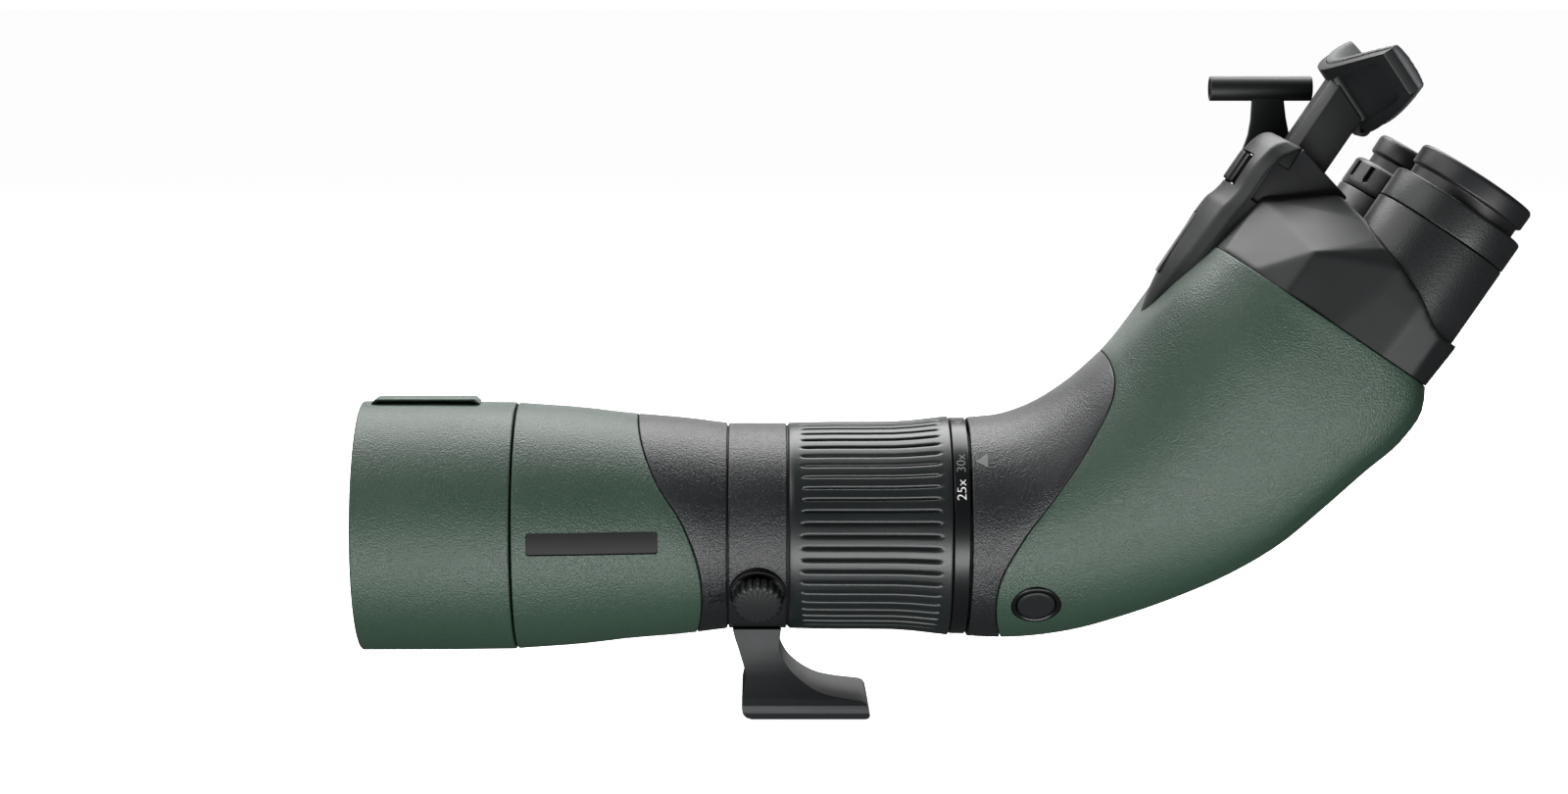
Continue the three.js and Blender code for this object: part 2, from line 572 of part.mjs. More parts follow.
function carrier() {
  const body = common(slab(carrierSide(), -22, 22), sheet(carrierOutline(0), -80, -40));
  const rails = block([-62.2, -10.1, -1], [-50, 10.1, 41.8]);
  const window = block([-70, -5.6, 20.6], [-56, 5.6, 33.4]);
  const inlay = block([-80, -4.2, -18.5], [-65.5, 4.2, 6.5]);
  const seat = inHead(ocularSolid(-GAP, 0.5, 1).translate(-HEAD.x, 0, -HEAD.z));
  const postSlot = block([-54.9, -10.1, 20], [-40, 10.1, 50]);
  const bore = rod(1.9, -1.2, 37, 12).rotateX(Math.PI / 2).translate(REST.wheelX, 0, 0);
  return cut(body, rails, window, inlay, postSlot, bore, seat);
}

function baseWedge() {
  const wedge = slab([[-56.2, 23.2], [-53.6, 23.2], [-31.9, 38.5], [-29.4, 38.3], [-31, 40], [-50.6, 43.6],
    [-50.6, 34.4], [-56.2, 34.2]], -18.5, 18.5);
  const passage = block([-63, -10.1, 20], [-37.9, 10.1, 50]);
  return cut(wedge, passage);
}

function post() {
  const bar = slab([[-54.5, 46], [-54.5, 71.4], [-38.7, 65], [-38.7, 40.5], [-50.6, 40.5]], -8, 8);
  const edge = block([-51.6, -9.6, 40.5], [-38.7, 9.6, 64.5]);
  const tongue = block([-54.5, -9.6, 26], [-50.7, 9.6, 47]);
  const rails = [-1, 1].map((side) => block([-61.6, Math.min(side * 7.7, side * 9.6), 2],
    [-58.4, Math.max(side * 7.7, side * 9.6), 33]));
  const webs = [-1, 1].map((side) => block([-61.6, Math.min(side * 7.7, side * 9.6), 26],
    [-52, Math.max(side * 7.7, side * 9.6), 33]));
  const nut = block([-61.6, -9.6, 2], [-58.4, 9.6, 8]);
  const bore = rod(1.9, 0, 10, 12).rotateX(Math.PI / 2).translate(REST.wheelX, 0, 0);
  return cut(join(bar, edge, tongue, ...rails, ...webs, nut), bore);
}

function heightWheel() {
  const count = 10;
  const body = turned([[0, 21.4], [REST.wheelR - 0.5, 21.4], [REST.wheelR, 22], [REST.wheelR, 32],
    [REST.wheelR - 0.5, 32.6], [0, 32.6]], count * 2);
  const grooves = [];
  for (let i = 0; i < count; i++)
    grooves.push(rod(0.42, 20, 34, 6).translate(REST.wheelR + 0.1, 0, 0).rotateY((i * 2 * Math.PI) / count));
  const axle = rod(1.9, 20, 34, 16);
  return cut(body, axle, ...grooves).rotateX(Math.PI / 2).translate(REST.wheelX, 0, 0);
}

piece(head, "rest_carrier", carrier(), MATTE_BLACK);
piece(head, "rest_inlay", block([-66.1, -3.9, -18.2], [-65.8, 3.9, 6.2]), BLACK_SATIN);
piece(head, "rest_base", baseWedge(), SOFT_RUBBER);
piece(head, "rest_wheel", heightWheel(), GRIP_RUBBER);
piece(head, "rest_spindle", rod(1.6, -0.6, 36, 16).rotateX(Math.PI / 2).translate(REST.wheelX, 0, 0), STEEL);
piece(head, "rest_post", post(), MATTE_BLACK);

// A plate bent up towards its ends, in the pad's own leaning frame: down the forehead, across, and proud.
function bentPlate(bottom, top, upper, lower, shorten) {
  const plate = new THREE.BoxGeometry(1, 2 * (PAD.halfLength - shorten), 1, 4, 18, 1);
  const place = plate.attributes.position;
  for (let i = 0; i < place.count; i++) {
    const y = place.getY(i);
    const out = Math.abs(y) / PAD.halfLength;
    const down = mix(upper + 3 * out ** 3, lower - 8 * out ** 2.5, place.getX(i) + 0.5);
    const proud = (place.getZ(i) > 0 ? top - 2.4 * out ** 2 : bottom) + PAD.rise * out ** 2;
    place.setXYZ(i, down, y, proud);
  }
  return plate.rotateY(-rad(PAD.tiltDeg)).translate(PAD.x, 0, PAD.h);
}

function padShell() {
  const seat = block([-54.9, -9.9, 55], [-38.3, 9.9, 66.5]);
  const hinge = block([-44, -7, 58], [-36.5, 7, 63.2]);
  return cut(join(bentPlate(0.4, 3.6, 0.4, 27, 1), hinge), seat, slab([[-54.8, 40], [-54.8, 71.9],
    [-38.4, 65.4], [-38.4, 40]], -9.9, 9.9));
}
piece(head, "pad_shell", padShell(), MATTE_BLACK);
piece(head, "forehead_pad", bentPlate(3.9, 8.6, 0, 27.4, 0), SOFT_RUBBER);

// Sighting tube on the far flank of the carrier
const SIGHT = { y: 24, z: 216, from: 142.6, to: 177.2, r: 4.1, bore: 3.1 };

function sightingTube() {
  const bar = rod(SIGHT.r, SIGHT.from, SIGHT.to, 24).rotateZ(-Math.PI / 2).translate(0, SIGHT.y, SIGHT.z);
  const stalk = slab([[156.4, 214], [156, 205], [154.6, 199], [150, 190], [154, 184], [164, 187],
    [169.5, 199.4], [167.4, 206], [167, 214]], 21.2, 24.8);
  const bore = rod(SIGHT.bore, SIGHT.from - 1, SIGHT.to + 1, 24).rotateZ(-Math.PI / 2)
    .translate(0, SIGHT.y, SIGHT.z);
  return cut(join(bar, stalk), bore);
}
piece(scope, "sighting_tube", sightingTube(), MATTE_BLACK);

export default scope;
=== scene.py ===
import json
import math

import bmesh
import bpy
import numpy as np
from mathutils import Matrix, Vector


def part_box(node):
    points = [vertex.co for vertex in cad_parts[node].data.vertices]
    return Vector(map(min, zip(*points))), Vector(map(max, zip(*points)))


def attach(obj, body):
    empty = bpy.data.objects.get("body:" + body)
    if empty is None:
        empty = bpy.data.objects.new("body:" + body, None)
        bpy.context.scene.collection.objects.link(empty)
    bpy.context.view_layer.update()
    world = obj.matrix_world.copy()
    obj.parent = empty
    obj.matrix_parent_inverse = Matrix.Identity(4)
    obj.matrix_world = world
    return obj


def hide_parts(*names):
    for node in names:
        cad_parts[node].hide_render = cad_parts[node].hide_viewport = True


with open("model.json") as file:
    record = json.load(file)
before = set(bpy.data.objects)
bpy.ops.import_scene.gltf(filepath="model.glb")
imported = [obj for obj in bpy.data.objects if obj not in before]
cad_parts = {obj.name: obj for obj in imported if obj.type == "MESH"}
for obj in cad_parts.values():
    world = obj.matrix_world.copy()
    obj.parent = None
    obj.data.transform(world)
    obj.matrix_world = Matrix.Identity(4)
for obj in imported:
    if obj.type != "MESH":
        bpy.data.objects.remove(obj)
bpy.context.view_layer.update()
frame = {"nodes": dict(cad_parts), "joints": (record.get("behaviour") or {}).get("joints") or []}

bl_info = {
    "name": "Angled Spotting Scope",
    "version": (1, 0, 0),
    "blender": (4, 5, 0),
    "location": "3D View > Sidebar > Scope",
    "description": "Builds the armoured spotting scope with two eyepieces around its packed frame",
    "category": "Add Mesh",
}

JOINTS = {joint["name"]: joint for joint in frame["joints"]}

# Every size below is in millimetres. A finished piece is scaled to metres when it is made.
MM = 0.001
AXIS_Z = JOINTS["scope_rotation"]["pos_m"][2] / MM
LEAN = Vector(JOINTS["left_cup_turn"]["axis"])
CUP_PIVOT_H = 50.0
EYE_MIDDLE = (Vector(JOINTS["left_cup_turn"]["pos_m"]) + Vector(JOINTS["right_cup_turn"]["pos_m"])) / 2 / MM
EYE_HALF_SPACING = abs(JOINTS["left_cup_turn"]["pos_m"][1]) / MM
SEAM_MIDDLE = EYE_MIDDLE - LEAN * CUP_PIVOT_H
BEND = math.pi / 2 - math.atan2(LEAN.x, LEAN.z)  # angle that the ocular body turns through


def frame_on(axis, origin, across=None):
    """The place of a shape drawn along +Z, stood on an axis of the object."""
    along = Vector(axis).normalized()
    side = Vector(across) if across else along.orthogonal().normalized()
    other = along.cross(side)
    return Matrix((
        (side.x, other.x, along.x, origin[0]),
        (side.y, other.y, along.y, origin[1]),
        (side.z, other.z, along.z, origin[2]),
        (0, 0, 0, 1),
    ))


ON_BARREL = frame_on((1, 0, 0), (0, 0, AXIS_Z), (0, 0, -1))
ON_HEAD = frame_on(LEAN, SEAM_MIDDLE, (LEAN.z, 0, -LEAN.x))
CLAMP_AXIS = Vector(JOINTS["clamp_knob_turn"]["axis"])
ON_CLAMP = frame_on(CLAMP_AXIS, Vector(JOINTS["clamp_knob_turn"]["pos_m"]) / MM, (1, 0, 0))
BUTTON_AXIS = -Vector(JOINTS["release_press"]["axis"])
BUTTON_X = (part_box("release_button")[0].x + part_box("release_button")[1].x) / 2 / MM
BUTTON_Z = 65.9
ON_BUTTON = frame_on(BUTTON_AXIS, (BUTTON_X, 0, BUTTON_Z), (1, 0, 0))
PAD_TILT = math.radians(-22)
ON_PAD = ON_HEAD @ Matrix.Translation((-59.3, 0, 70.1)) @ Matrix.Rotation(-PAD_TILT, 4, "Y")


def linear(hex_colour):
    """The linear value of an sRGB colour."""
    parts = [int(hex_colour[i:i + 2], 16) / 255 for i in (1, 3, 5)]
    return [c / 12.92 if c <= 0.04045 else ((c + 0.055) / 1.055) ** 2.4 for c in parts]


class ScopeSizes(bpy.types.PropertyGroup):
    """Sizes that a user would change."""

    focus_ribs: bpy.props.IntProperty(
        name="Focus ribs", description="Ribs around the focusing ring", default=54, min=20, max=90)
    rib_height: bpy.props.FloatProperty(name="Rib height",
                                        description="Height of a focusing rib in millimetres", default=1.05,
                                        min=0.2, max=2)
    knob_flutes: bpy.props.IntProperty(
        name="Knob flutes", description="Flutes around the clamp knob", default=20, min=8, max=40)
    dioptre_slots: bpy.props.IntProperty(
        name="Dioptre slots", description="Slots around the dioptre ring", default=16, min=8, max=24)
    armour_roll: bpy.props.FloatProperty(
        name="Armour edge", description="Radius of the rubber armour's rolled edges in millimetres",
        default=0.55, min=0.1, max=2)
    armour_grain: bpy.props.FloatProperty(name="Armour grain",
                                          description="Grain of the rubber armour in millimetres",
                                          default=0.6, min=0.3, max=4)


class ScopeColours(bpy.types.PropertyGroup):
    """Colours that a user would change."""

    green: bpy.props.FloatVectorProperty(
        name="Green armour", description="Green of the rubber armour", subtype="COLOR", size=3,
        min=0, max=1, default=linear("#2C4034"))
    charcoal: bpy.props.FloatVectorProperty(
        name="Charcoal armour", description="Charcoal of the rubber armour", subtype="COLOR", size=3,
        min=0, max=1, default=linear("#17191B"))
    plastic: bpy.props.FloatVectorProperty(
        name="Moulded black", description="Black of the moulded covers", subtype="COLOR", size=3,
        min=0, max=1, default=linear("#141617"))
    floor: bpy.props.FloatVectorProperty(
        name="Floor", description="Paper under the object", subtype="COLOR", size=3,
        min=0, max=1, default=linear("#E6E6E6"))


# Materials

def add(tree, kind, inputs=None, **settings):
    """Adds a node with its settings, and links or sets its inputs."""
    made = tree.nodes.new("ShaderNode" + kind)
    for key, value in settings.items():
        setattr(made, key, value)
    for key, value in (inputs or {}).items():
        if isinstance(value, bpy.types.NodeSocket):
            tree.links.new(value, made.inputs[key])
        else:
            made.inputs[key].default_value = value
    return made


MATERIALS = {}


def finish_of(name, colour, roughness, grain_mm, depth_mm, mottle=0.35, patch=0.2, patch_mm=30.0, detail=2.0,
              spread=0.04, stretch=(1, 1, 1), wear=0.25, **sockets):
    """A solid finish: a grain for bump and fine shading, soft patches, and edges that wear lighter."""
    if name in MATERIALS:
        return MATERIALS[name]
    material = bpy.data.materials.new(name)
    material.use_nodes = True
    tree = material.node_tree
    shader = tree.nodes["Principled BSDF"]
    place = add(tree, "TexCoord").outputs["Object"]
    turned_place = add(tree, "Mapping", {"Vector": place, "Scale": stretch}).outputs["Vector"]
    grain = add(tree, "TexNoise", {"Vector": turned_place, "Scale": 1 / (grain_mm * MM), "Detail": detail,
                                   "Roughness": 0.55, "Distortion": 0.25}).outputs["Fac"]
    broad = add(tree, "TexNoise",
                {"Vector": place, "Scale": 1 / (patch_mm * MM), "Detail": 3.0}).outputs["Fac"]
    edge = add(tree, "NewGeometry").outputs["Pointiness"]
    low = [c * (1 - mottle) for c in colour] + [1]
    high = [min(1, c * (1 + mottle)) for c in colour] + [1]
    worn = [min(1, c * 1.6 + 0.01) for c in colour] + [1]
    fine = add(tree, "MapRange", {"Value": grain, "From Min": 0.3, "From Max": 0.7}).outputs["Result"]
    shift = add(tree, "MapRange", {"Value": broad, "From Min": 0.3, "From Max": 0.7, "To Min": -patch,
                                   "To Max": patch}).outputs["Result"]
    both = add(tree, "Math", {0: fine, 1: shift}, operation="ADD", use_clamp=True).outputs[0]
    base = add(tree, "Mix", {"Factor": both, "A": low, "B": high}, data_type="RGBA")
    worn_share = add(tree, "MapRange", {"Value": edge, "From Min": 0.53, "From Max": 0.62, "To Max": wear})
    skin = add(tree, "Mix", {"Factor": worn_share.outputs["Result"], "B": worn}, data_type="RGBA")
    colour_in = [s for s in skin.inputs if s.name == "A" and s.type == "RGBA"][0]
    colour_out = [s for s in base.outputs if s.type == "RGBA"][0]
    tree.links.new(colour_out, colour_in)
    tree.links.new([s for s in skin.outputs if s.type == "RGBA"][0], shader.inputs["Base Color"])
    gloss = add(tree, "MapRange", {"Value": broad, "From Min": 0.25, "From Max": 0.75,
                                   "To Min": roughness - spread, "To Max": roughness + spread})
    tree.links.new(gloss.outputs["Result"], shader.inputs["Roughness"])
    bump = add(tree, "Bump", {"Height": grain, "Distance": depth_mm * MM, "Strength": 1.0})
    tree.links.new(bump.outputs["Normal"], shader.inputs["Normal"])
    for key, value in sockets.items():
        shader.inputs[key.replace("_", " ")].default_value = value
    MATERIALS[name] = material
    return material


def material(name):
    """The finish of that name, made when it is first asked for."""
    sizes = bpy.context.scene.scope_sizes
    colours = bpy.context.scene.scope_colours
    grain = sizes.armour_grain
    recipes = {
        # Moulded rubber with a spark-eroded grain: soft broad highlights broken by a fine pebble.
        "moulded_rubber_armour_green": lambda n: finish_of(
            n, colours.green, 0.39, grain, 0.34, mottle=0.1, patch=0.1, wear=0.1),
        "moulded_rubber_armour_charcoal": lambda n: finish_of(
            n, colours.charcoal, 0.37, grain, 0.3, mottle=0.12, patch=0.1, wear=0.1),
        # Moulded nitrile rubber, smooth on the ribs and faintly green.
        "moulded_rubber_ribbed": lambda n: finish_of(
            n, linear("#151A1A"), 0.36, 0.5, 0.03, mottle=0.16, wear=0.2),
        # Glass-filled nylon out of a fine-blasted mould: matte, with a very fine tooth.
        "moulded_nylon_matte_black": lambda n: finish_of(
            n, colours.plastic, 0.48, 0.45, 0.02, mottle=0.16, wear=0.3, Specular_IOR_Level=0.42),
        # Nylon with a fine leather grain in the mould, a little glossier on the tops of the grain.
        "moulded_nylon_leather_grain": lambda n: finish_of(
            n, linear("#1B1D1E"), 0.4, 0.6, 0.09, mottle=0.3, wear=0.2),
        # Soft silicone rubber: smooth, and matte from handling.
        "moulded_silicone_black": lambda n: finish_of(
            n, linear("#18191B"), 0.44, 0.6, 0.015, mottle=0.14, wear=0.2),
        # Skinned foam rubber of the forehead pad: closed skin with a soft low sheen.
        "skinned_foam_rubber": lambda n: finish_of(
            n, linear("#3A3C3E"), 0.55, 0.6, 0.03, mottle=0.16, wear=0.15, Sheen_Weight=0.15),
        # Turned aluminium, anodised satin black: tight highlights along the ring.
        "anodised_aluminium_satin_black": lambda n: finish_of(
            n, linear("#151718"), 0.3, 0.35, 0.006, mottle=0.2, wear=0.35, Metallic=0.35),
        # Turned aluminium, anodised matte black, as baffles and lens cells are.
        "anodised_aluminium_matte_black": lambda n: finish_of(
            n, linear("#1A1B1D"), 0.55, 0.4, 0.012, mottle=0.25, wear=0.25, Metallic=0.5),
        # Cast aluminium with a matte powder coat: fine orange peel.
        "powder_coated_aluminium": lambda n: finish_of(
            n, linear("#1E2122"), 0.5, 0.7, 0.035, mottle=0.14, wear=0.3, Specular_IOR_Level=0.3),
        # Machined stainless steel: bright, with fine turning marks.
        "machined_stainless_steel": lambda n: finish_of(
            n, linear("#A9ABAD"), 0.28, 0.3, 0.006, mottle=0.12, stretch=(6, 1, 1), wear=0.2, Metallic=1.0),
        # Epoxy ink for the zoom numbers and the index mark.
        "printed_epoxy_white": lambda n: finish_of(n, linear("#D8D8D6"), 0.5, 0.4, 0.004, mottle=0.06),
        "printed_epoxy_grey": lambda n: finish_of(n, linear("#6A6B6C"), 0.5, 0.4, 0.004, mottle=0.08),
        # Near-black plate: the real black of the name badge, and painted shade in the slit under the sight
        # rail, the lips beside the collar, the boss round the knob and the foot's nose.
        "black_plate": lambda n: finish_of(
            n, linear("#08090A"), 0.5, 0.5, 0.01, mottle=0.2, wear=0.3, Specular_IOR_Level=0.25),
        # Polished glass with a multilayer coating: dark, with a faint green-violet reflection.
        "coated_optical_glass": glass_of,
    }
    return recipes[name](name)


def glass_of(name):
    """Coated lens glass: clear, with a thin film that tints its reflections, and faint dust."""
    if name in MATERIALS:
        return MATERIALS[name]
    made = bpy.data.materials.new(name)
    made.use_nodes = True
    tree = made.node_tree
    shader = tree.nodes["Principled BSDF"]
    place = add(tree, "TexCoord").outputs["Object"]
    dust = add(tree, "TexNoise", {"Vector": place, "Scale": 1 / (6 * MM), "Detail": 6.0}).outputs["Fac"]
    tint = add(tree, "Mix", {"Factor": dust, "A": [0.80, 0.93, 0.86, 1], "B": [0.86, 0.84, 0.95, 1]},
               data_type="RGBA")
    tree.links.new([s for s in tint.outputs if s.type == "RGBA"][0], shader.inputs["Base Color"])
    gloss = add(tree, "MapRange", {"Value": dust, "To Min": 0.0, "To Max": 0.05})
    tree.links.new(gloss.outputs["Result"], shader.inputs["Roughness"])
    shader.inputs["Transmission Weight"].default_value = 1.0
    shader.inputs["IOR"].default_value = 1.52
    shader.inputs["Coat Weight"].default_value = 0.4
    shader.inputs["Coat Tint"].default_value = [0.55, 0.85, 0.7, 1]
    MATERIALS[name] = made
    return made


# Shapes

def smooth_through(places, values):
    """A smooth curve through values at rising places, as a function of the place."""
    x, y = np.array(places, float), np.array(values, float)
    slope = np.gradient(y, x)

    def at(place):
        t = min(max(place, x[0]), x[-1])
        i = min(max(int(np.searchsorted(x, t, side="right")) - 1, 0), len(x) - 2)
        width = x[i + 1] - x[i]
        s = (t - x[i]) / width
        return ((1 + 2 * s) * (1 - s) ** 2 * y[i] + s * (1 - s) ** 2 * width * slope[i]
                + s * s * (3 - 2 * s) * y[i + 1] + s * s * (s - 1) * width * slope[i + 1])
    return at


def eased(value, low=0.0, high=1.0):
    """A soft step from 0 at low to 1 at high."""
    t = min(max((value - low) / (high - low), 0), 1)
    return t * t * (3 - 2 * t)


def rounded(corners, steps=4):
    """An outline whose corners (x, y, radius) are rounded; a corner without a radius stays sharp."""
    made = []
    count = len(corners)
    for i, corner in enumerate(corners):
        here = Vector(corner[:2])
        if len(corner) < 3 or not corner[2]:
            made.append(tuple(here))
            continue
        before, after = Vector(corners[i - 1][:2]), Vector(corners[(i + 1) % count][:2])
        reach = min(corner[2], (before - here).length * 0.49, (after - here).length * 0.49)
        start, end = here + (before - here).normalized() * reach, here + (after - here).normalized() * reach
        for k in range(steps + 1):
            t = k / steps
            made.append(tuple(start * (1 - t) ** 2 + here * 2 * t * (1 - t) + end * t ** 2))
    return made


def turned(outline, place, steps=96):
    """A turned shape from pairs of radius and place along the axis. It closes itself away from the axis."""
    bm = bmesh.new()
    verts = [bm.verts.new((r, 0, along)) for r, along in outline]
    loop = verts if outline[0][0] == 0 and outline[-1][0] == 0 else verts + verts[:1]
    edges = [bm.edges.new(pair) for pair in zip(loop, loop[1:])]
    bmesh.ops.spin(bm, geom=verts + edges, cent=(0, 0, 0), axis=(0, 0, 1), angle=2 * math.pi, steps=steps,
                   use_merge=True, use_duplicate=False)
    bmesh.ops.remove_doubles(bm, verts=bm.verts, dist=1e-4)
    bmesh.ops.recalc_face_normals(bm, faces=bm.faces)
    bm.transform(place)
    return bm


def fluted(bm, count, step):
    """Moves a turned shape's points in or out: step(radius, share of a pitch, place along) is how far."""
    for v in bm.verts:
        r = math.hypot(v.co.x, v.co.y)
        phase = (math.atan2(v.co.y, v.co.x) * count / (2 * math.pi)) % 1
        if r > 0:
            grow = 1 + step(r, phase, v.co.z) / r
            v.co.x *= grow
            v.co.y *= grow


def prism(outline, low, high, place, plane="xz"):
    """A flat outline drawn out between two places, across the plane that it lies in."""
    bm = bmesh.new()
    spots = {"xz": lambda a, b: (a, low, b), "yz": lambda a, b: (low, a, b), "xy": lambda a, b: (a, b, low)}
    face = bm.faces.new([bm.verts.new(spots[plane](a, b)) for a, b in outline])
    drawn = bmesh.ops.extrude_face_region(bm, geom=[face])["geom"]
    step = {"xz": (0, high - low, 0), "yz": (high - low, 0, 0), "xy": (0, 0, high - low)}[plane]
    bmesh.ops.translate(bm, verts=[v for v in drawn if isinstance(v, bmesh.types.BMVert)], vec=step)
    bmesh.ops.recalc_face_normals(bm, faces=bm.faces)
    bm.transform(place)
    return bm


def sheet(columns, rows, back, front, place):
    """A closed plate between two skins, each a function of two shares from 0 to 1."""
    bm = bmesh.new()
    bmesh.ops.create_grid(bm, x_segments=columns, y_segments=rows, size=1)
    drawn = bmesh.ops.extrude_face_region(bm, geom=list(bm.faces))["geom"]
    upper = {v for v in drawn if isinstance(v, bmesh.types.BMVert)}
    for v in bm.verts:
        a, b = (v.co.x + 1) / 2, (v.co.y + 1) / 2
        v.co = Vector((front if v in upper else back)(a, b))
    bmesh.ops.recalc_face_normals(bm, faces=bm.faces)
    bm.transform(place)
    return bm


def hull(points, place):
    """The convex solid around some points."""
    bm = bmesh.new()
    for p in points:
        bm.verts.new(p)
    made = bmesh.ops.convex_hull(bm, input=bm.verts)
    loose = [g for g in made["geom_interior"] + made["geom_unused"] if isinstance(g, bmesh.types.BMVert)]
    bmesh.ops.delete(bm, geom=list(set(loose)), context="VERTS")
    bmesh.ops.recalc_face_normals(bm, faces=bm.faces)
    bm.transform(place)
    return bm


def stand(bm, name="work"):
    """A work object that holds a shape while modifiers run on it."""
    mesh = bpy.data.meshes.new(name)
    bm.to_mesh(mesh)
    bm.free()
    made = bpy.data.objects.new(name, mesh)
    bpy.context.scene.collection.objects.link(made)
    return made


def worked(bm, *steps):
    """The shape after some finishing modifiers, each a kind and its settings."""
    work = stand(bm)
    for kind, settings in steps:
        modifier = work.modifiers.new(kind, kind)
        for key, value in settings.items():
            setattr(modifier, key, value)
    made = bmesh.new()
    made.from_object(work, bpy.context.evaluated_depsgraph_get())
    bpy.data.meshes.remove(work.data)
    return made


def combined(bm, *tools, operation="DIFFERENCE"):
    """The shape cut by, joined to or kept inside each tool in turn."""
    others = [stand(tool, "tool") for tool in tools]
    made = worked(bm, *[("BOOLEAN",
                         {"object": o, "operation": operation, "solver": "EXACT"}) for o in others])
    for o in others:
        bpy.data.meshes.remove(o.data)
    bmesh.ops.remove_doubles(made, verts=made.verts, dist=1e-4)
    return made


def bevelled(bm, width, segments=3, angle=30):
    """The shape with the edges sharper than an angle rounded off."""
    return worked(bm, ("BEVEL", {"width": width, "segments": segments, "limit_method": "ANGLE",
                                 "angle_limit": math.radians(angle), "use_clamp_overlap": True}))


def softened(bm, voxel, rounds):
    """The shape with every edge rubbed round, as on a moulding."""
    return worked(bm, ("REMESH", {"mode": "VOXEL", "voxel_size": voxel}),
                  ("SMOOTH", {"factor": 0.5, "iterations": rounds}))


def joined(*shapes):
    """Several shapes as the parts of one mesh."""
    whole = bmesh.new()
    for shape in shapes:
        mesh = bpy.data.meshes.new("part")
        shape.to_mesh(mesh)
        shape.free()
        whole.from_mesh(mesh)
        bpy.data.meshes.remove(mesh)
    return whole


def make(name, bm, finish, body, stands_for=(), sharp=38):
    """Makes a finished piece of a shape in millimetres, gives it its body and finish, and hides the CAD
    nodes that it stands for.
    """
    bm.transform(Matrix.Scale(MM, 4))
    mesh = bpy.data.meshes.new(name)
    bm.to_mesh(mesh)
    bm.free()
    mesh.shade_smooth()
    mesh.set_sharp_from_angle(angle=math.radians(sharp))
    mesh.materials.append(material(finish))
    piece = bpy.data.objects.new(name, mesh)
    bpy.context.scene.collection.objects.link(piece)
    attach(piece, body)
    if stands_for:
        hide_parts(*stands_for)
    return piece


# A sleeve is spun as a straight tube about a hub, then each point is put on the skin that it covers.
HUB = 100.0
SPAN = 200.0
EDGE = 8.0


def sleeve(thickness, roll, rings, columns, place):
    """A closed armour sleeve. place(turn, inset, along) puts a point on the object: turn is its angle, inset
    its depth under the skin, and along runs from 0 to SPAN, in millimetres within EDGE of either end."""
    arc = [math.radians(90) * k / 4 for k in range(5)]
    front = [(HUB - roll + roll * math.sin(a), roll - roll * math.cos(a)) for a in arc]
    middle = [SPAN * k / rings for k in range(1, rings)]
    middle = [m for m in middle if roll + 0.5 < m < SPAN - roll - 0.5]
    rear = [(r, SPAN - along) for r, along in reversed(front)]
    inner = [(HUB - thickness, m) for m in reversed([0.0, *middle, SPAN])]
    bm = turned([*front, *[(HUB, m) for m in middle], *rear, *inner], Matrix(), columns)
    for v in bm.verts:
        v.co = place(math.atan2(v.co.y, v.co.x), HUB - math.hypot(v.co.x, v.co.y), v.co.z)
    bmesh.ops.recalc_face_normals(bm, faces=bm.faces)
    return bm


def between(along, front, rear, unit=1.0):
    """The place between two edges, in their own measure, whose unit is that of one millimetre."""
    if along < EDGE:
        return front + along * unit
    if along > SPAN - EDGE:
        return rear - (SPAN - along) * unit
    share = (along - EDGE) / (SPAN - 2 * EDGE)
    return front + EDGE * unit + share * (rear - front - 2 * EDGE * unit)


# Objective barrel: the armour's skin, and the line where its green and charcoal parts meet
skin_radius = smooth_through([-99.6, -75.5, -62, -41.5, -27.1], [42.8, 41.0, 39.4, 37.6, 35.8])
sweep_x = smooth_through([-44, -29, -21, -11, -1, 8.5, 18.5, 31, 44],
                         [-39.5, -36.2, -35.7, -36.4, -39.1, -43.3, -50.1, -55.9, -59])
ARMOUR_FRONT, ARMOUR_REAR, HALF_GAP = -99.6, -27.1, 0.12


def barrel_parting(turn):
    """Where the two armours meet, at an angle from the top of the barrel."""
    x = -45.0
    for _ in range(12):
        x = sweep_x(skin_radius(x) * math.cos(turn))
    return x


def on_barrel_skin(turn, inset, x):
    """A point of the barrel's skin, at an angle from its top."""
    r = skin_radius(x) - inset
    return Vector((x, -r * math.sin(turn), AXIS_Z + r * math.cos(turn)))


BADGE = {"from": -94.6, "to": -50.4, "z": 0.3, "height": 7.8, "corner": 1.1, "depth": 0.8}


HOOD_FRONT, HOOD_REAR = -153.9, -100.3
RAIL_Z = AXIS_Z + 43.2


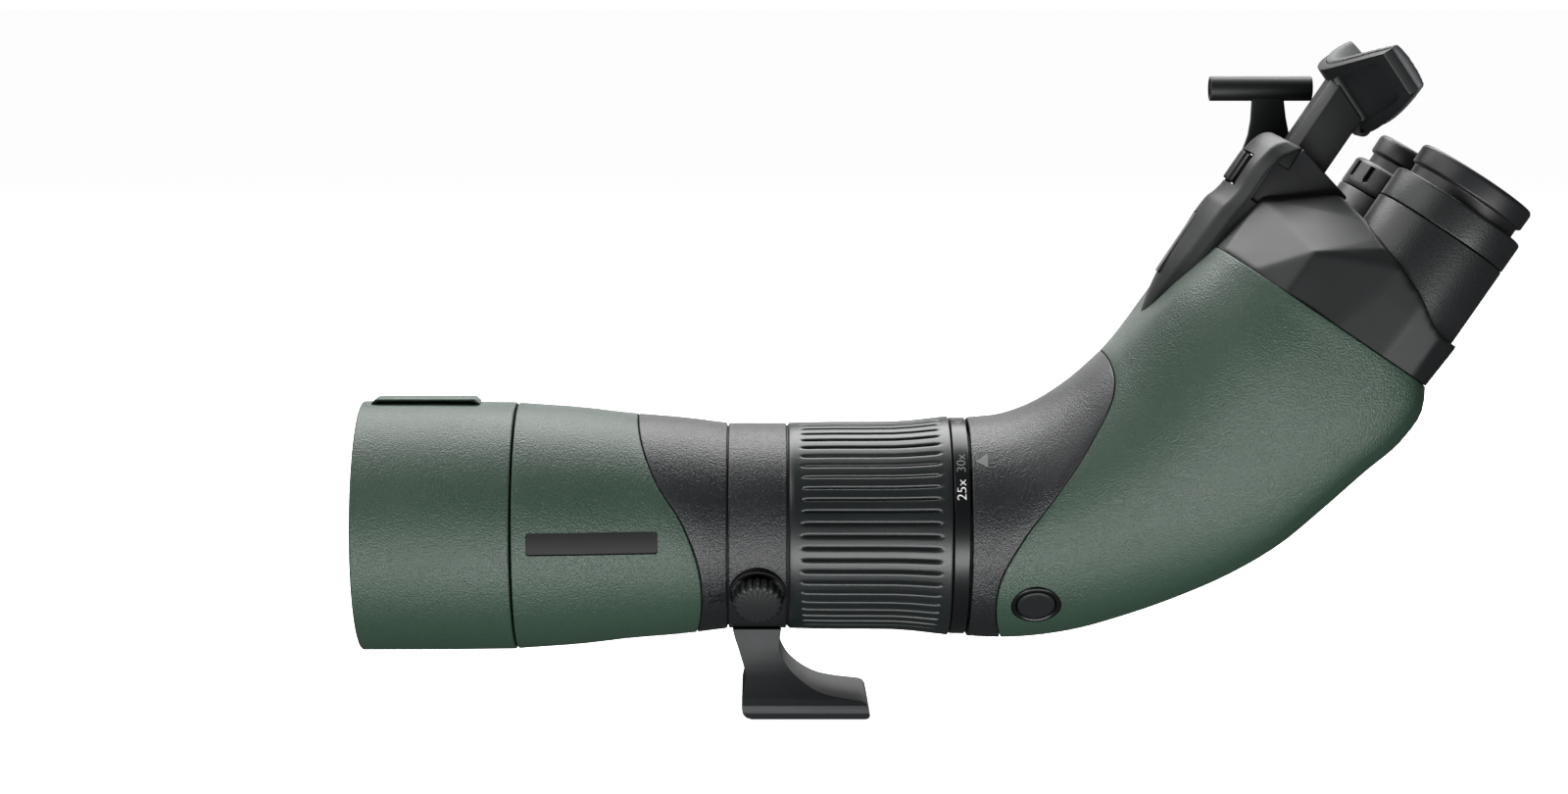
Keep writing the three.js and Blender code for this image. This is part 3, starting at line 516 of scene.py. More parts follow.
class SCOPE_OT_sunshade(bpy.types.Operator):
    """Sliding sunshade: rubber armour, blackened liner with its filter thread, and the sight rail"""

    bl_idname = "scope.sunshade"
    bl_label = "Sunshade"

    def execute(self, context):
        armour = turned(rounded([(41.2, HOOD_FRONT + 0.4), (41.6, HOOD_FRONT, 0.4), (43.3, HOOD_FRONT, 2.6),
                                 (43.25, -125), (42.95, HOOD_REAR, 0.8), (41.2, HOOD_REAR)], 6), ON_BARREL,
                        160)
        make("sunshade_armour", armour, "moulded_rubber_armour_green", "sunshade",
             ["sunshade_hood"])
        threads = []
        for i in range(6):
            along = -152.6 + i * 0.75
            threads += [(39.0, along), (38.6, along + 0.37)]
        liner = turned([(41.5, -153.4), (41.0, -153.8), (39.5, -153.7), *threads, (39.0, -148),
                        (40.6, -146.5), (40.6, -101), (41.3, -100.7)], ON_BARREL, 128)
        make("sunshade_liner", liner, "anodised_aluminium_matte_black", "sunshade")
        strip = [(-150.4, 0), (-148.4, 1.7), (-114.4, 1.7), (-112.6, 0), (-113.9, 0), (-115.0, 0.95),
                 (-147.8, 0.95), (-149.1, 0)]
        rail = prism([(x, RAIL_Z + z) for x, z in strip], -5, 5, Matrix())
        make("sight_rail", bevelled(rail, 0.25, 2, 20), "moulded_rubber_armour_green", "sunshade",
             ["hood_sight_rail"])
        # The rail's underside is open, and a near-black core under it paints the shade in the slit between
        # the rail and the hood.
        core = prism([(-149, RAIL_Z - 0.3), (-147.8, RAIL_Z + 1.0), (-115, RAIL_Z + 1.0),
                      (-113.8, RAIL_Z - 0.3)], -4.2, 4.2, Matrix())
        make("sight_rail_slit_painted_shade", core, "black_plate", "sunshade")
        return {"FINISHED"}


class SCOPE_OT_objective(bpy.types.Operator):
    """Objective barrel: two armours that meet on a swept line, blank badge, lens cell and lens"""

    bl_idname = "scope.objective"
    bl_label = "Objective"

    def execute(self, context):
        roll = context.scene.scope_sizes.armour_roll

        def front_place(turn, inset, along):
            rear = barrel_parting(turn) - HALF_GAP
            return on_barrel_skin(turn, inset, between(along, ARMOUR_FRONT, rear))

        def rear_place(turn, inset, along):
            front = barrel_parting(turn) + HALF_GAP
            return on_barrel_skin(turn, inset, between(along, front, ARMOUR_REAR))

        half = BADGE["height"] / 2
        middle = AXIS_Z + BADGE["z"]
        opening = rounded([(BADGE["from"], middle - half, BADGE["corner"]),
                           (BADGE["to"], middle - half, BADGE["corner"]),
                           (BADGE["to"], middle + half, BADGE["corner"]),
                           (BADGE["from"], middle + half, BADGE["corner"])])
        front = combined(sleeve(2.2, roll, 30, 144, front_place), prism(opening, -60, -20, Matrix()))
        make("objective_armour_green", front, "moulded_rubber_armour_green", "objective",
             ["objective_armour_front"])
        make("objective_armour_charcoal", sleeve(2.2, roll, 20, 144, rear_place),
             "moulded_rubber_armour_charcoal", "objective", ["objective_armour_rear"])

        def badge_skin(depth):
            def at(a, b):
                x = BADGE["from"] - 0.6 + a * (BADGE["to"] - BADGE["from"] + 1.2)
                z = BADGE["z"] + (b - 0.5) * (BADGE["height"] + 1.2)
                r = skin_radius(x) - depth
                return (x, -math.sqrt(r * r - z * z), AXIS_Z + z)
            return at

        badge = sheet(24, 6, badge_skin(BADGE["depth"] + 0.9), badge_skin(BADGE["depth"]), Matrix())
        make("blank_name_badge", badge, "black_plate", "objective", ["blank_badge"])
        cell = turned(rounded([(37.6, -146, 0.5), (37.6, -118), (34.5, -118), (34.5, -120), (32.8, -122),
                               (32.8, -137.6), (31, -138, 0.3), (31, -139.5, 0.3), (34.8, -141.5),
                               (34.8, -146, 0.4)], 3), ON_BARREL, 128)
        make("objective_lens_cell", cell, "anodised_aluminium_matte_black", "objective",
             ["objective_cell"])
        dome = [(32.5 * math.sin(k / 8 * 0.9) / math.sin(0.9),
                 -137.2 - 1.4 * (1 - (k / 8) ** 2)) for k in range(9)]
        lens = turned([*dome, (32.5, -132), (0, -130.6)], ON_BARREL, 96)
        make("objective_front_lens", lens, "coated_optical_glass", "objective",
             ["objective_lens_front"])
        return {"FINISHED"}


# Tripod collar: its ends along the barrel, its radii, and the black lips that close the gaps beside it and
# paint the shade in those gaps
COLLAR_FRONT, COLLAR_BACK = -26.7, -6.7
COLLAR_R, COLLAR_BORE = 35.7, 31.7
LIP_DEPTH, LIP_GAP = 1.5, 0.08
PAD_CLEARANCE = 0.2


class SCOPE_OT_collar(bpy.types.Operator):
    """Tripod collar with its boss and fluted clamp knob, and the foot with its thread insert"""

    bl_idname = "scope.collar"
    bl_label = "Collar and foot"

    def execute(self, context):
        ring = turned(rounded([(COLLAR_BORE, COLLAR_FRONT), (COLLAR_R, COLLAR_FRONT, 0.7),
                               (COLLAR_R, COLLAR_BACK, 0.7), (COLLAR_BORE, COLLAR_BACK)], 5), ON_BARREL, 144)
        make("collar_ring", combined(ring, self.pad_bore()), "moulded_rubber_armour_charcoal", "collar",
             ["tripod_collar"])
        # Near-black lips close the gaps on either side of the collar and paint the shade that falls in them.
        for name, body, slot, low, high, reach in (
            ("objective_end_painted_shade_lip", "objective", "armour_charcoal", COLLAR_FRONT - 0.6,
             COLLAR_FRONT - LIP_GAP, 34.7),
            ("focus_end_painted_shade_lip", "focus_ring", "grip_rubber", COLLAR_BACK + LIP_GAP, COLLAR_BACK + 0.7, 34.9),
        ):
            lip = turned([(reach - LIP_DEPTH, low), (reach, low), (reach, high), (reach - LIP_DEPTH, high)],
                         ON_BARREL, 144)
            make(name, lip, "black_plate", body)
        # The boss has a real shallow recess round the knob, and its near-black colour paints the shadow ring
        # that falls in that recess.
        boss = turned(rounded([(0, 34), (9.7, 34), (9.7, 36.8, 0.6), (9.0, 36.8, 0.3), (8.9, 35.4, 0.3),
                               (0, 35.2)], 4), ON_CLAMP, 64)
        make("collar_boss_painted_shade", combined(boss, self.pad_bore()), "black_plate", "collar")
        self.knob(context.scene.scope_sizes.knob_flutes)
        self.foot()
        return {"FINISHED"}

    def pad_bore(self):
        """The bore that the brake pad slides in, through the ring and its boss."""
        low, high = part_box("brake_pad")
        radius = (high.x - low.x) / 2 / MM + PAD_CLEARANCE
        return turned([(0, 28), (radius, 28), (radius, 37.2), (0, 37.2)], ON_CLAMP, 48)

    def knob(self, flutes):
        radius, groove = 8.5, 0.75
        outline = rounded([(0, 37.3), (7.6, 37.3, 0.5), (radius, 38.3, 0.4), (radius, 42.3, 0.5),
                           (7.35, 43.05, 0.5), (0, 43.3)], 3)

        def flute(r, phase, along):
            reach = max(0.0, 1 - ((phase - 0.5) / 0.24) ** 2)
            return -groove * math.sqrt(reach) * eased(r, 6.9, 7.6)

        bm = turned(outline, Matrix(), flutes * 10)
        fluted(bm, flutes, flute)
        bm.transform(ON_CLAMP)
        make("clamp_knob_fluted", bm, "moulded_nylon_matte_black", "clamp_knob",
             ["clamp_knob"], sharp=28)

    def foot(self):
        nose = [(-25.3, 31), (-24.6, 28), (-23.3, 24), (-22.1, 20), (-21.1, 16.6), (-20.6, 14.8),
                (-21.0, 12.6), (-21.7, 10), (-22.1, 7.4), (-22.1, 4.6), (-21.7, 2.4), (-20.6, 0.8),
                (-18.8, 0)]
        heel = [(20.8, 0), (21.8, 0.5), (22.2, 1.6), (21.6, 4.6), (20.7, 6.2), (19.2, 6.9)]
        throat_curve = smooth_through([0, 1, 2, 3, 4, 5, 6, 7, 8],
                                      [16, 10, 4, -0.7, -4.0, -6.6, -8.3, -9.2, -8.5])
        throat_height = smooth_through([0, 1, 2, 3, 4, 5, 6, 7, 8],
                                       [7.3, 8.2, 9.8, 12.5, 15.2, 18.2, 21.4, 24.8, 31])
        throat = [(throat_curve(k / 3), throat_height(k / 3)) for k in range(25)]
        side = prism([*nose, *heel, *throat], -30, 30, Matrix())
        widths = smooth_through([5.6, 7.4, 10, 12.5, 15, 18, 22, 26, 31],
                                [20.5, 18.9, 16.8, 15.3, 14.2, 13.5, 13.2, 13.3, 13.8])
        half = [(17.3, 0), (20.3, 2.6), (20.5, 3.2),
                (20.5, 5.2)] + [(widths(z), z) for z in np.linspace(5.6, 31, 22)]
        front = prism([*half, *[(-y, z) for y, z in reversed(half)]], -30, 30, Matrix(), "yz")
        saddle = turned([(0, -40), (35.9, -40), (35.9, 10), (0, 10)], ON_BARREL, 96)
        well = turned([(0, -2), (6.9, -2), (6.9, 5), (0, 5)], Matrix.Translation((11.5, 0, 0)), 48)
        bolts = [turned([(0, -2), (3.8, -2), (3.8, 5.8), (0, 5.8)], Matrix.Translation((-14.6, y, 0)), 32)
                 for y in (-8, 8)]
        body = combined(side, front, operation="INTERSECT")
        body = bevelled(body, 0.45, 3, 24)
        body = combined(body, saddle, well, *bolts)
        make("foot_casting", body, "powder_coated_aluminium", "collar", ["tripod_foot"],
             sharp=30)
        # A near-black sliver set into the foot's nose paints a dark slit of shade there; no slit is cut into
        # the casting.
        slit = prism(rounded([(-21.95, 4.4, 0.3), (-21.2, 4.4, 0.3), (-20.2, 8.6, 0.3), (-20.9, 8.8, 0.3)],
                             3), -17.5, -6.5, Matrix())
        make("foot_nose_painted_shade", slit, "black_plate", "collar")
        rings = []
        for i in range(5):
            rings += [(4.1, 0.7 + i * 0.8), (4.6, 1.1 + i * 0.8)]
        insert = turned([(6.7, 0.3), *reversed([(6.7, 4.7)]), (4.1, 4.7), *reversed(rings), (4.5, 0.3)],
                        Matrix.Translation((11.5, 0, 0)), 64)
        make("foot_insert", insert, "machined_stainless_steel", "collar", ["foot_thread_insert"])


ZOOM_R = 37.7
NUMBER_LIFT = 0.02
NUMBER_X = 52.45


class SCOPE_OT_rings(bpy.types.Operator):
    """Ribbed focusing ring, and the zoom ring with its printed numbers"""

    bl_idname = "scope.rings"
    bl_label = "Focus and zoom rings"

    def execute(self, context):
        sizes = context.scene.scope_sizes
        front, back, root = -6.2, 49.3, 34.0
        skin = smooth_through([front, -2, 10, 35, 44, back], [34.9, 35.0, 35.2, 35.6, 36.6, 37.3])
        places = [front, front + 0.25, front + 0.7, -3.6, -2.6, -2.2, -1.8, -1.4, -1.0, -0.5, 0.2, 1, 2.5,
                  5, 10, 20, 30, 36, 40, 42, 43.5, 44.4, 45, 45.6, 46.2, 46.8, 47.6, back - 0.6, back - 0.2,
                  back]
        drop = {front: 0.8, front + 0.25: 0.3, back - 0.2: 0.15, back: 0.5}
        outline = [(root, back), (root, front)] + [(skin(x) - drop.get(x, 0), x) for x in places]

        def rib(r, phase, along):
            if r < root + 0.01:
                return 0
            swell = 1 - abs(2 * phase - 1) ** 6
            window = eased(along, -2.7, 0.4) * (1 - eased(along, 43.2, 46.6))
            return sizes.rib_height * ((swell - 0.1) * window + 0.85 * (1 - window))

        bm = turned(outline, Matrix(), sizes.focus_ribs * 12)
        fluted(bm, sizes.focus_ribs, rib)
        bm.transform(ON_BARREL)
        make("focus_grip_ribbed", bm, "moulded_rubber_ribbed", "focus_ring",
             ["focus_ring_grip"], sharp=50)
        ring = turned(rounded([(33.2, 49.75), (37.65, 49.75, 0.5), (ZOOM_R, 55.15, 0.5), (33.2, 55.15)], 4),
                      ON_BARREL, 144)
        make("zoom_ring_turned", ring, "anodised_aluminium_satin_black", "zoom_ring",
             ["zoom_ring"])
        scale = (("25x", 28, "white"), ("30x", 43.5, "grey"), ("40x", 83, "grey"), ("50x", 112, "grey"),
                 ("60x", 141, "white"))
        for text, degrees, shade in scale:
            self.number(text, math.radians(degrees), "printed_epoxy_" + shade)
        return {"FINISHED"}

    def number(self, text, height, finish):
        """A number wrapped round the ring, read from below upwards."""
        curve = bpy.data.curves.new("number", "FONT")
        curve.body = text
        curve.size = 4.5
        curve.offset = -0.07
        curve.align_x = "CENTER"
        curve.align_y = "CENTER"
        work = bpy.data.objects.new("number", curve)
        bpy.context.scene.collection.objects.link(work)
        bm = bmesh.new()
        bm.from_mesh(work.to_mesh())
        work.to_mesh_clear()
        bpy.data.objects.remove(work)
        bmesh.ops.remove_doubles(bm, verts=bm.verts, dist=1e-4)
        lift = ZOOM_R + NUMBER_LIFT
        for v in bm.verts:
            angle = height + v.co.x * 1.15 / lift
            v.co = Vector((NUMBER_X - v.co.y, -lift * math.cos(angle), AXIS_Z + lift * math.sin(angle)))
        bmesh.ops.solidify(bm, geom=bm.faces, thickness=0.1)
        bmesh.ops.recalc_face_normals(bm, faces=bm.faces)
        make("zoom_number_" + text, bm, finish, "zoom_ring")


# Ocular body: sections that all pass through one pivot line above the bend. A section is a closed curve
# through points given by their share of the way from crest to belly and their half width. Each has its
# partner on the round section at the barrel's end, by angle from the crest.
PIVOT_X = 55.6
PIVOT_Z = SEAM_MIDDLE.z + (SEAM_MIDDLE.x - PIVOT_X) / math.tan(BEND)
BEND_DEG = math.degrees(BEND)
crest = smooth_through([0, 5.6, 11.3, 16.9, 22.5, 28.2, 33.8, 39.4, 45, 50.7, BEND_DEG],
                       [116.5, 115.9, 113.8, 110.7, 107.4, 104.3, 101.2, 98.8, 97.6, 98.2, 99.7])
belly = smooth_through([0, 5.6, 11.3, 16.9, 22.5, 28.2, 33.8, 39.4, 45, 50.7, 54.2, 55.5, BEND_DEG],
                       [192.7, 193.9, 193.8, 192.4, 191.1, 190, 188.5, 186, 185, 186.4, 185.1, 182.9, 181.2])
ROUND_R = 37.9
SECTION = [(0, 0, 0), (0, 20, 18), (0.012, 32, 34), (0.06, 41.5, 47), (0.15, 49.3, 57), (0.25, 54.8, 66),
           (0.345, 58.0, 75), (0.45, 59.9, 86), (0.60, 60.8, 101), (0.75, 60.2, 116), (0.85, 58.4, 128),
           (0.905, 56.2, 138), (0.93, 53.6, 144), (0.965, 48.5, 151), (0.995, 40, 159), (0.995, 20, 170),
           (0.98, 0, 180)]


def ocular_section(share, turn):
    """The section's point at an angle round it: distance from the pivot, and half width."""
    degrees = min(max(share, 0), 1) * BEND_DEG
    top, bottom = crest(degrees), belly(degrees)
    blend = eased(share, 0.04, 0.92)
    last = len(SECTION) - 1
    place = (turn % (2 * math.pi)) / math.pi * last
    i = int(place)

    def control(k):
        k %= 2 * last
        side = 1 if k <= last else -1
        down, width, angle = SECTION[k if k <= last else 2 * last - k]
        round_down = (1 - math.cos(math.radians(angle))) / 2
        round_width = ROUND_R * math.sin(math.radians(angle))
        return Vector((top + (bottom - top) * (round_down + (down - round_down) * blend),
                       side * (round_width + (width - round_width) * blend)))

    a, b, c, d = (control(i + k) for k in (-1, 0, 1, 2))
    t = place - i
    square, cube = 2 * a - 5 * b + 4 * c - d, 3 * b - a - 3 * c + d
    return 0.5 * (2 * b + (c - a) * t + square * t * t + cube * t ** 3)


def on_ocular_skin(share, turn, inset=0.0):
    """A point of the ocular body's skin, or under it."""
    spot = ocular_section(share, turn)
    if inset:
        along = (ocular_section(share, turn + 0.01) - ocular_section(share, turn - 0.01)).normalized()
        spot = spot + Vector((along.y, -along.x)) * inset
    angle = share * BEND
    return Vector((PIVOT_X + spot.x * math.sin(angle), -spot.y, PIVOT_Z - spot.x * math.cos(angle)))


parting_x = smooth_through([20, 36.7, 50.3, 67.1, 81.8, 98.5, 120.7, 129.3, 142],
                           [70, 64.9, 65.3, 73.5, 84.3, 95.2, 103.9, 101.9, 92])
PARTINGS = {}


def ocular_parting(turn):
    """The share of the bend at which the charcoal and the green armour meet."""
    key = round(turn, 5)
    if key not in PARTINGS:
        low, high = 0.0, 0.8
        for _ in range(24):
            middle = (low + high) / 2
            spot = on_ocular_skin(middle, turn)
            low, high = (middle, high) if spot.x < parting_x(spot.z) else (low, middle)
        PARTINGS[key] = (low + high) / 2
    return PARTINGS[key]


def share_per_mm(turn, share):
    """How much of the bend one millimetre along the skin is."""
    return 1 / (ocular_section(share, turn).x * BEND)


class SCOPE_OT_ocular(bpy.types.Operator):
    """Bent ocular body: charcoal and green armour, index mark, and the release button in its bezel"""

    bl_idname = "scope.ocular"
    bl_label = "Ocular body"

    def execute(self, context):
        roll = context.scene.scope_sizes.armour_roll

        def front_place(turn, inset, along):
            rear = ocular_parting(turn)
            unit = share_per_mm(turn, rear)
            return on_ocular_skin(between(along, 0.35 * unit, rear - HALF_GAP * unit, unit), turn, inset)

        def rear_place(turn, inset, along):
            front = ocular_parting(turn)
            unit = share_per_mm(turn, front)
            return on_ocular_skin(between(along, front + HALF_GAP * unit, 1 - 0.1 * unit, unit), turn, inset)

        make("ocular_armour_charcoal", sleeve(2.4, roll, 24, 168, front_place),
             "moulded_rubber_armour_charcoal", "ocular", ["ocular_front_armour"])
        hole = turned([(0, 30), (8.6, 30), (8.6, 50), (0, 50)], ON_BUTTON, 48)
        green = combined(sleeve(2.4, roll, 52, 168, rear_place), hole)
        make("ocular_armour_green", green, "moulded_rubber_armour_green", "ocular",
             ["ocular_armour"])
        self.index_mark()
        bezel = turned(rounded([(0, 30), (8.5, 30), (8.5, 38.7, 0.5), (7.6, 39.0, 0.4), (6.85, 38.5, 0.3),
                                (6.8, 31.2), (0, 31.2)], 4), ON_BUTTON, 72)
        make("button_bezel", bezel, "anodised_aluminium_satin_black", "ocular",
             ["release_bezel"])
        cap = turned(rounded([(0, 35.6), (6.5, 35.6), (6.5, 38.9, 0.7), (5.3, 39.15, 0.6), (0, 38.95)], 5),
                     ON_BUTTON, 72)
        make("button_cap", cap, "moulded_nylon_matte_black", "release_button",
             ["release_button"])
        return {"FINISHED"}

    def index_mark(self):
        bm = bmesh.new()
        bmesh.ops.create_grid(bm, x_segments=8, y_segments=8, size=1)
        middle, half_height, length = math.radians(32.3), 2.7, 4.2
        for v in bm.verts:
            along, up = (v.co.x + 1) / 2, v.co.y
            turn = middle + up * along * half_height / ROUND_R
            v.co = on_ocular_skin((1.6 + along * length) * share_per_mm(turn, 0.03), turn, -0.05)
        bmesh.ops.remove_doubles(bm, verts=bm.verts, dist=1e-3)
        bmesh.ops.solidify(bm, geom=bm.faces, thickness=0.12)
        bmesh.ops.recalc_face_normals(bm, faces=bm.faces)
        make("zoom_index_mark", bm, "printed_epoxy_grey", "ocular")


# Eyepieces: radius of the barrels, and the floor and play of the slots that they move in
EYE_R = 23.85
SLOT_PLAY = 0.3
SLOT_FLOOR = 13.4
EYE_TRAVEL_IN, EYE_TRAVEL_OUT = 8, 0.5


def both_sides(points):
    return [(x, side * y, h) for x, y, h in points for side in (1, -1)]


class SCOPE_OT_cover(bpy.types.Operator):
    """Faceted cover between the ocular body and the eyepieces"""

    bl_idname = "scope.cover"
    bl_label = "Eyepiece cover"

    def execute(self, context):
        spine = [(-57, 20, 0.2), (-55.4, 29.5, 0.2), (-46, 45.5, 0.2), (-35, 55, 0.2), (-57, 20, -5),
                 (-35, 55, -5), (22, 33, -5), (-53.4, 19, 22.1), (-31.9, 20, 37.6), (-21.2, 33, 33.1),
                 (-34.9, 55.5, 15.9), (24, 33, 17.5)]
        lobes = []
        for side in (-1, 1):
            foot = [(-35, 55), (-17, 59.5), (2, 61.7), (15, 58.5), (20.5, 52), (25.2, 36), (24, 0)]
            points = [(x, y, h) for x, y in foot for h in (0.2, -5)]
            points += [(-20.8, 57.6, 16), (-10, 60.8, 16), (3, 62.2, 16), (14.5, 59.5, 16), (22.5, 52, 16),
                       (26, 38, 16), (-20.7, 57.4, 23.2), (-24.5, 41, 34.6), (-19.8, 52.6, 31.2),
                       (-16.5, 57, 29.8), (-10, 60.8, 27.5), (3, 62.2, 22.5), (14.5, 59.5, 17.5),
                       (22.5, 52, 17), (25.5, 38, 17.5), (-21, 0, 33), (24, 0, 17.5)]
            lobes.append(hull([(x, side * y, h) for x, y, h in points] + both_sides(spine), ON_HEAD))
        body = softened(joined(*lobes), 0.8, 0)
        rim = smooth_through([-30, -21.2, -19.3, -6.2, 4.5, 11, 16.8, 21, 26],
                             [36.9, 33.2, 31.7, 27, 21.4, 17.6, 15.9, 16, 17])
        above = [(x, rim(x)) for x in np.linspace(-30, 26, 45)]
        body = combined(body, prism([(-30, 60), *above, (40, 17.5), (40, 60)], -70, 70, ON_HEAD))
        body = softened(body, 0.8, 9)
        seam = SEAM_MIDDLE + LEAN * 0.12
        bmesh.ops.bisect_plane(body, geom=body.verts[:] + body.edges[:] + body.faces[:], plane_co=seam,
                               plane_no=LEAN, clear_inner=True)
        bmesh.ops.edgeloop_fill(body, edges=[e for e in body.edges if e.is_boundary])
        slots = []
        for side in (-1, 1):
            wide = EYE_R + SLOT_PLAY
            near, far = EYE_HALF_SPACING - EYE_TRAVEL_IN, EYE_HALF_SPACING + EYE_TRAVEL_OUT
            arc = [math.radians(180) * k / 32 for k in range(33)]
            outline = [(wide * math.cos(a), far + wide * math.sin(a)) for a in arc]
            outline += [(-wide * math.cos(a), near - wide * math.sin(a)) for a in arc]
            slots.append(prism([(x, side * y) for x, y in outline], SLOT_FLOOR, 60, ON_HEAD, "xy"))
        body = combined(body, *slots)
        make("eyepiece_cover_faceted", body, "moulded_nylon_matte_black", "ocular",
             ["eyepiece_cover"], sharp=60)
        return {"FINISHED"}


class SCOPE_OT_eyepieces(bpy.types.Operator):
    """Two eyepieces with their rings, dioptre slots, turn-out eyecups and lenses"""

    bl_idname = "scope.eyepieces"
    bl_label = "Eyepieces"

    def execute(self, context):
        for name, side in (("left", -1), ("right", 1)):
            place = ON_HEAD @ Matrix.Translation((0, side * EYE_HALF_SPACING, 0))
            barrel = turned(rounded([(15.2, 14), (EYE_R, 14), (EYE_R, 44.7, 0.35), (22.6, 44.9), (17, 44.9),
                                     (17, 58.8), (14.8, 58.8), (14.8, 45), (15.2, 44)], 3), place, 112)
            make(name + "_barrel_grained", barrel, "moulded_nylon_leather_grain", name + "_eyepiece",
                 [name + "_eyepiece_barrel"])
            ring = rounded([(20.1, 45.1), (EYE_R, 45.1, 0.35), (EYE_R, 55.7, 1.3), (20.1, 55.7)], 5)
            if side < 0:
                make("left_ring_grained", turned(ring, place, 112), "moulded_nylon_leather_grain",
                     "left_eyepiece", ["left_upper_ring"])
            else:
                self.dioptre_ring(place, context.scene.scope_sizes.dioptre_slots)
            cup = turned(rounded([(19.1, 46.5), (19.75, 46.5), (19.75, 59.3, 0.4), (21.05, 59.9, 0.5),
                                  (21.15, 65.4, 0.5), (20.6, 66.6, 0.8), (18.6, 66.7, 0.8),
                                  (17.0, 65.2, 1.0), (15.6, 61.6, 0.8), (14.7, 59.6, 0.4), (19.1, 59.1)],
                                 4), place, 112)
            make(name + "_cup_moulded", cup, "moulded_silicone_black", name + "_eyecup",
                 [name + "_eyecup"])
            dome = [(14.3 * k / 8, 56.9 - 2.2 * (k / 8) ** 2) for k in range(9)]
            lens = turned([*dome, (14.3, 52.6), (0, 53.4)], place, 64)
            make(name + "_eye_lens_polished", lens, "coated_optical_glass", name + "_eyepiece",
                 [name + "_eye_lens"])
        return {"FINISHED"}

    def dioptre_ring(self, place, slots):
        low, high = 48.2, 54.2
        rises = [45.1, 45.3, 45.5, 47.6, low, low + 0.25, low + 0.6, low + 1.2, 51, high - 1.2, high - 0.6,
                 high - 0.25, high, 54.5, 55, 55.4, 55.7]
        drop = {45.1: 0.35, 45.3: 0.1, 54.5: 0.1, 55: 0.35, 55.4: 0.75, 55.7: 1.4}
        outline = [(20.1, 55.7), (20.1, 45.1)] + [(EYE_R - drop.get(h, 0), h) for h in rises]

        def slot(r, phase, along):
            across = abs(phase - 0.5) * 2 * math.pi * r / slots
            edge = 0.95 - 0.9 * max(0.0, low + 0.7 - along, along - high + 0.7)
            if r <= 21 or not low <= along <= high or edge <= 0:
                return 0
            return -1.5 * (1 - eased(across, edge, edge + 0.4))

        bm = turned(outline, Matrix(), slots * 14)
        fluted(bm, slots, slot)
        bm.transform(place)
        make("dioptre_ring_slotted", bm, "moulded_nylon_leather_grain", "dioptre_ring",
             ["right_dioptre_ring"], sharp=45)


# Forehead rest: ends of the carrier, half widths and bend of the pad and its shell
REST_LOW, REST_HIGH = -33.4, 43.8
PAD_HALF, SHELL_HALF = 42, 41.2
PAD_BEND = 14.5

# Side lines of the carrier, as places across the head at heights along the eyepieces' axis
face_line = smooth_through([-33.4, -32.5, -29.4, -15.7, -1.4, 10.6, 13.2, 15.4, 17.9, 31.1, 35.2, 39, 41.8,
                            43.2, 43.8], [-62.3, -62.7, -63.6, -66, -66.5, -66.5, -66.2, -65.3, -64.7,
                                          -64.9, -64.5, -63.7, -61.9, -59, -52])
edge_line = smooth_through([-33.4, -29.8, -22, -10.6, -0.6, 11.5, 20, 33.4, 38, 43.8],
                           [-59.9, -60.0, -59.8, -59.2, -58.6, -57.9, -57.2, -56.6, -55.2, -50.5])
width_line = smooth_through([-33.4, -32.6, -31, -28, -25, -14, 0, 20, 38, 43.8],
                            [4.5, 6.4, 8.6, 11.0, 13.0, 17.5, 20, 20, 19.2, 17.2])


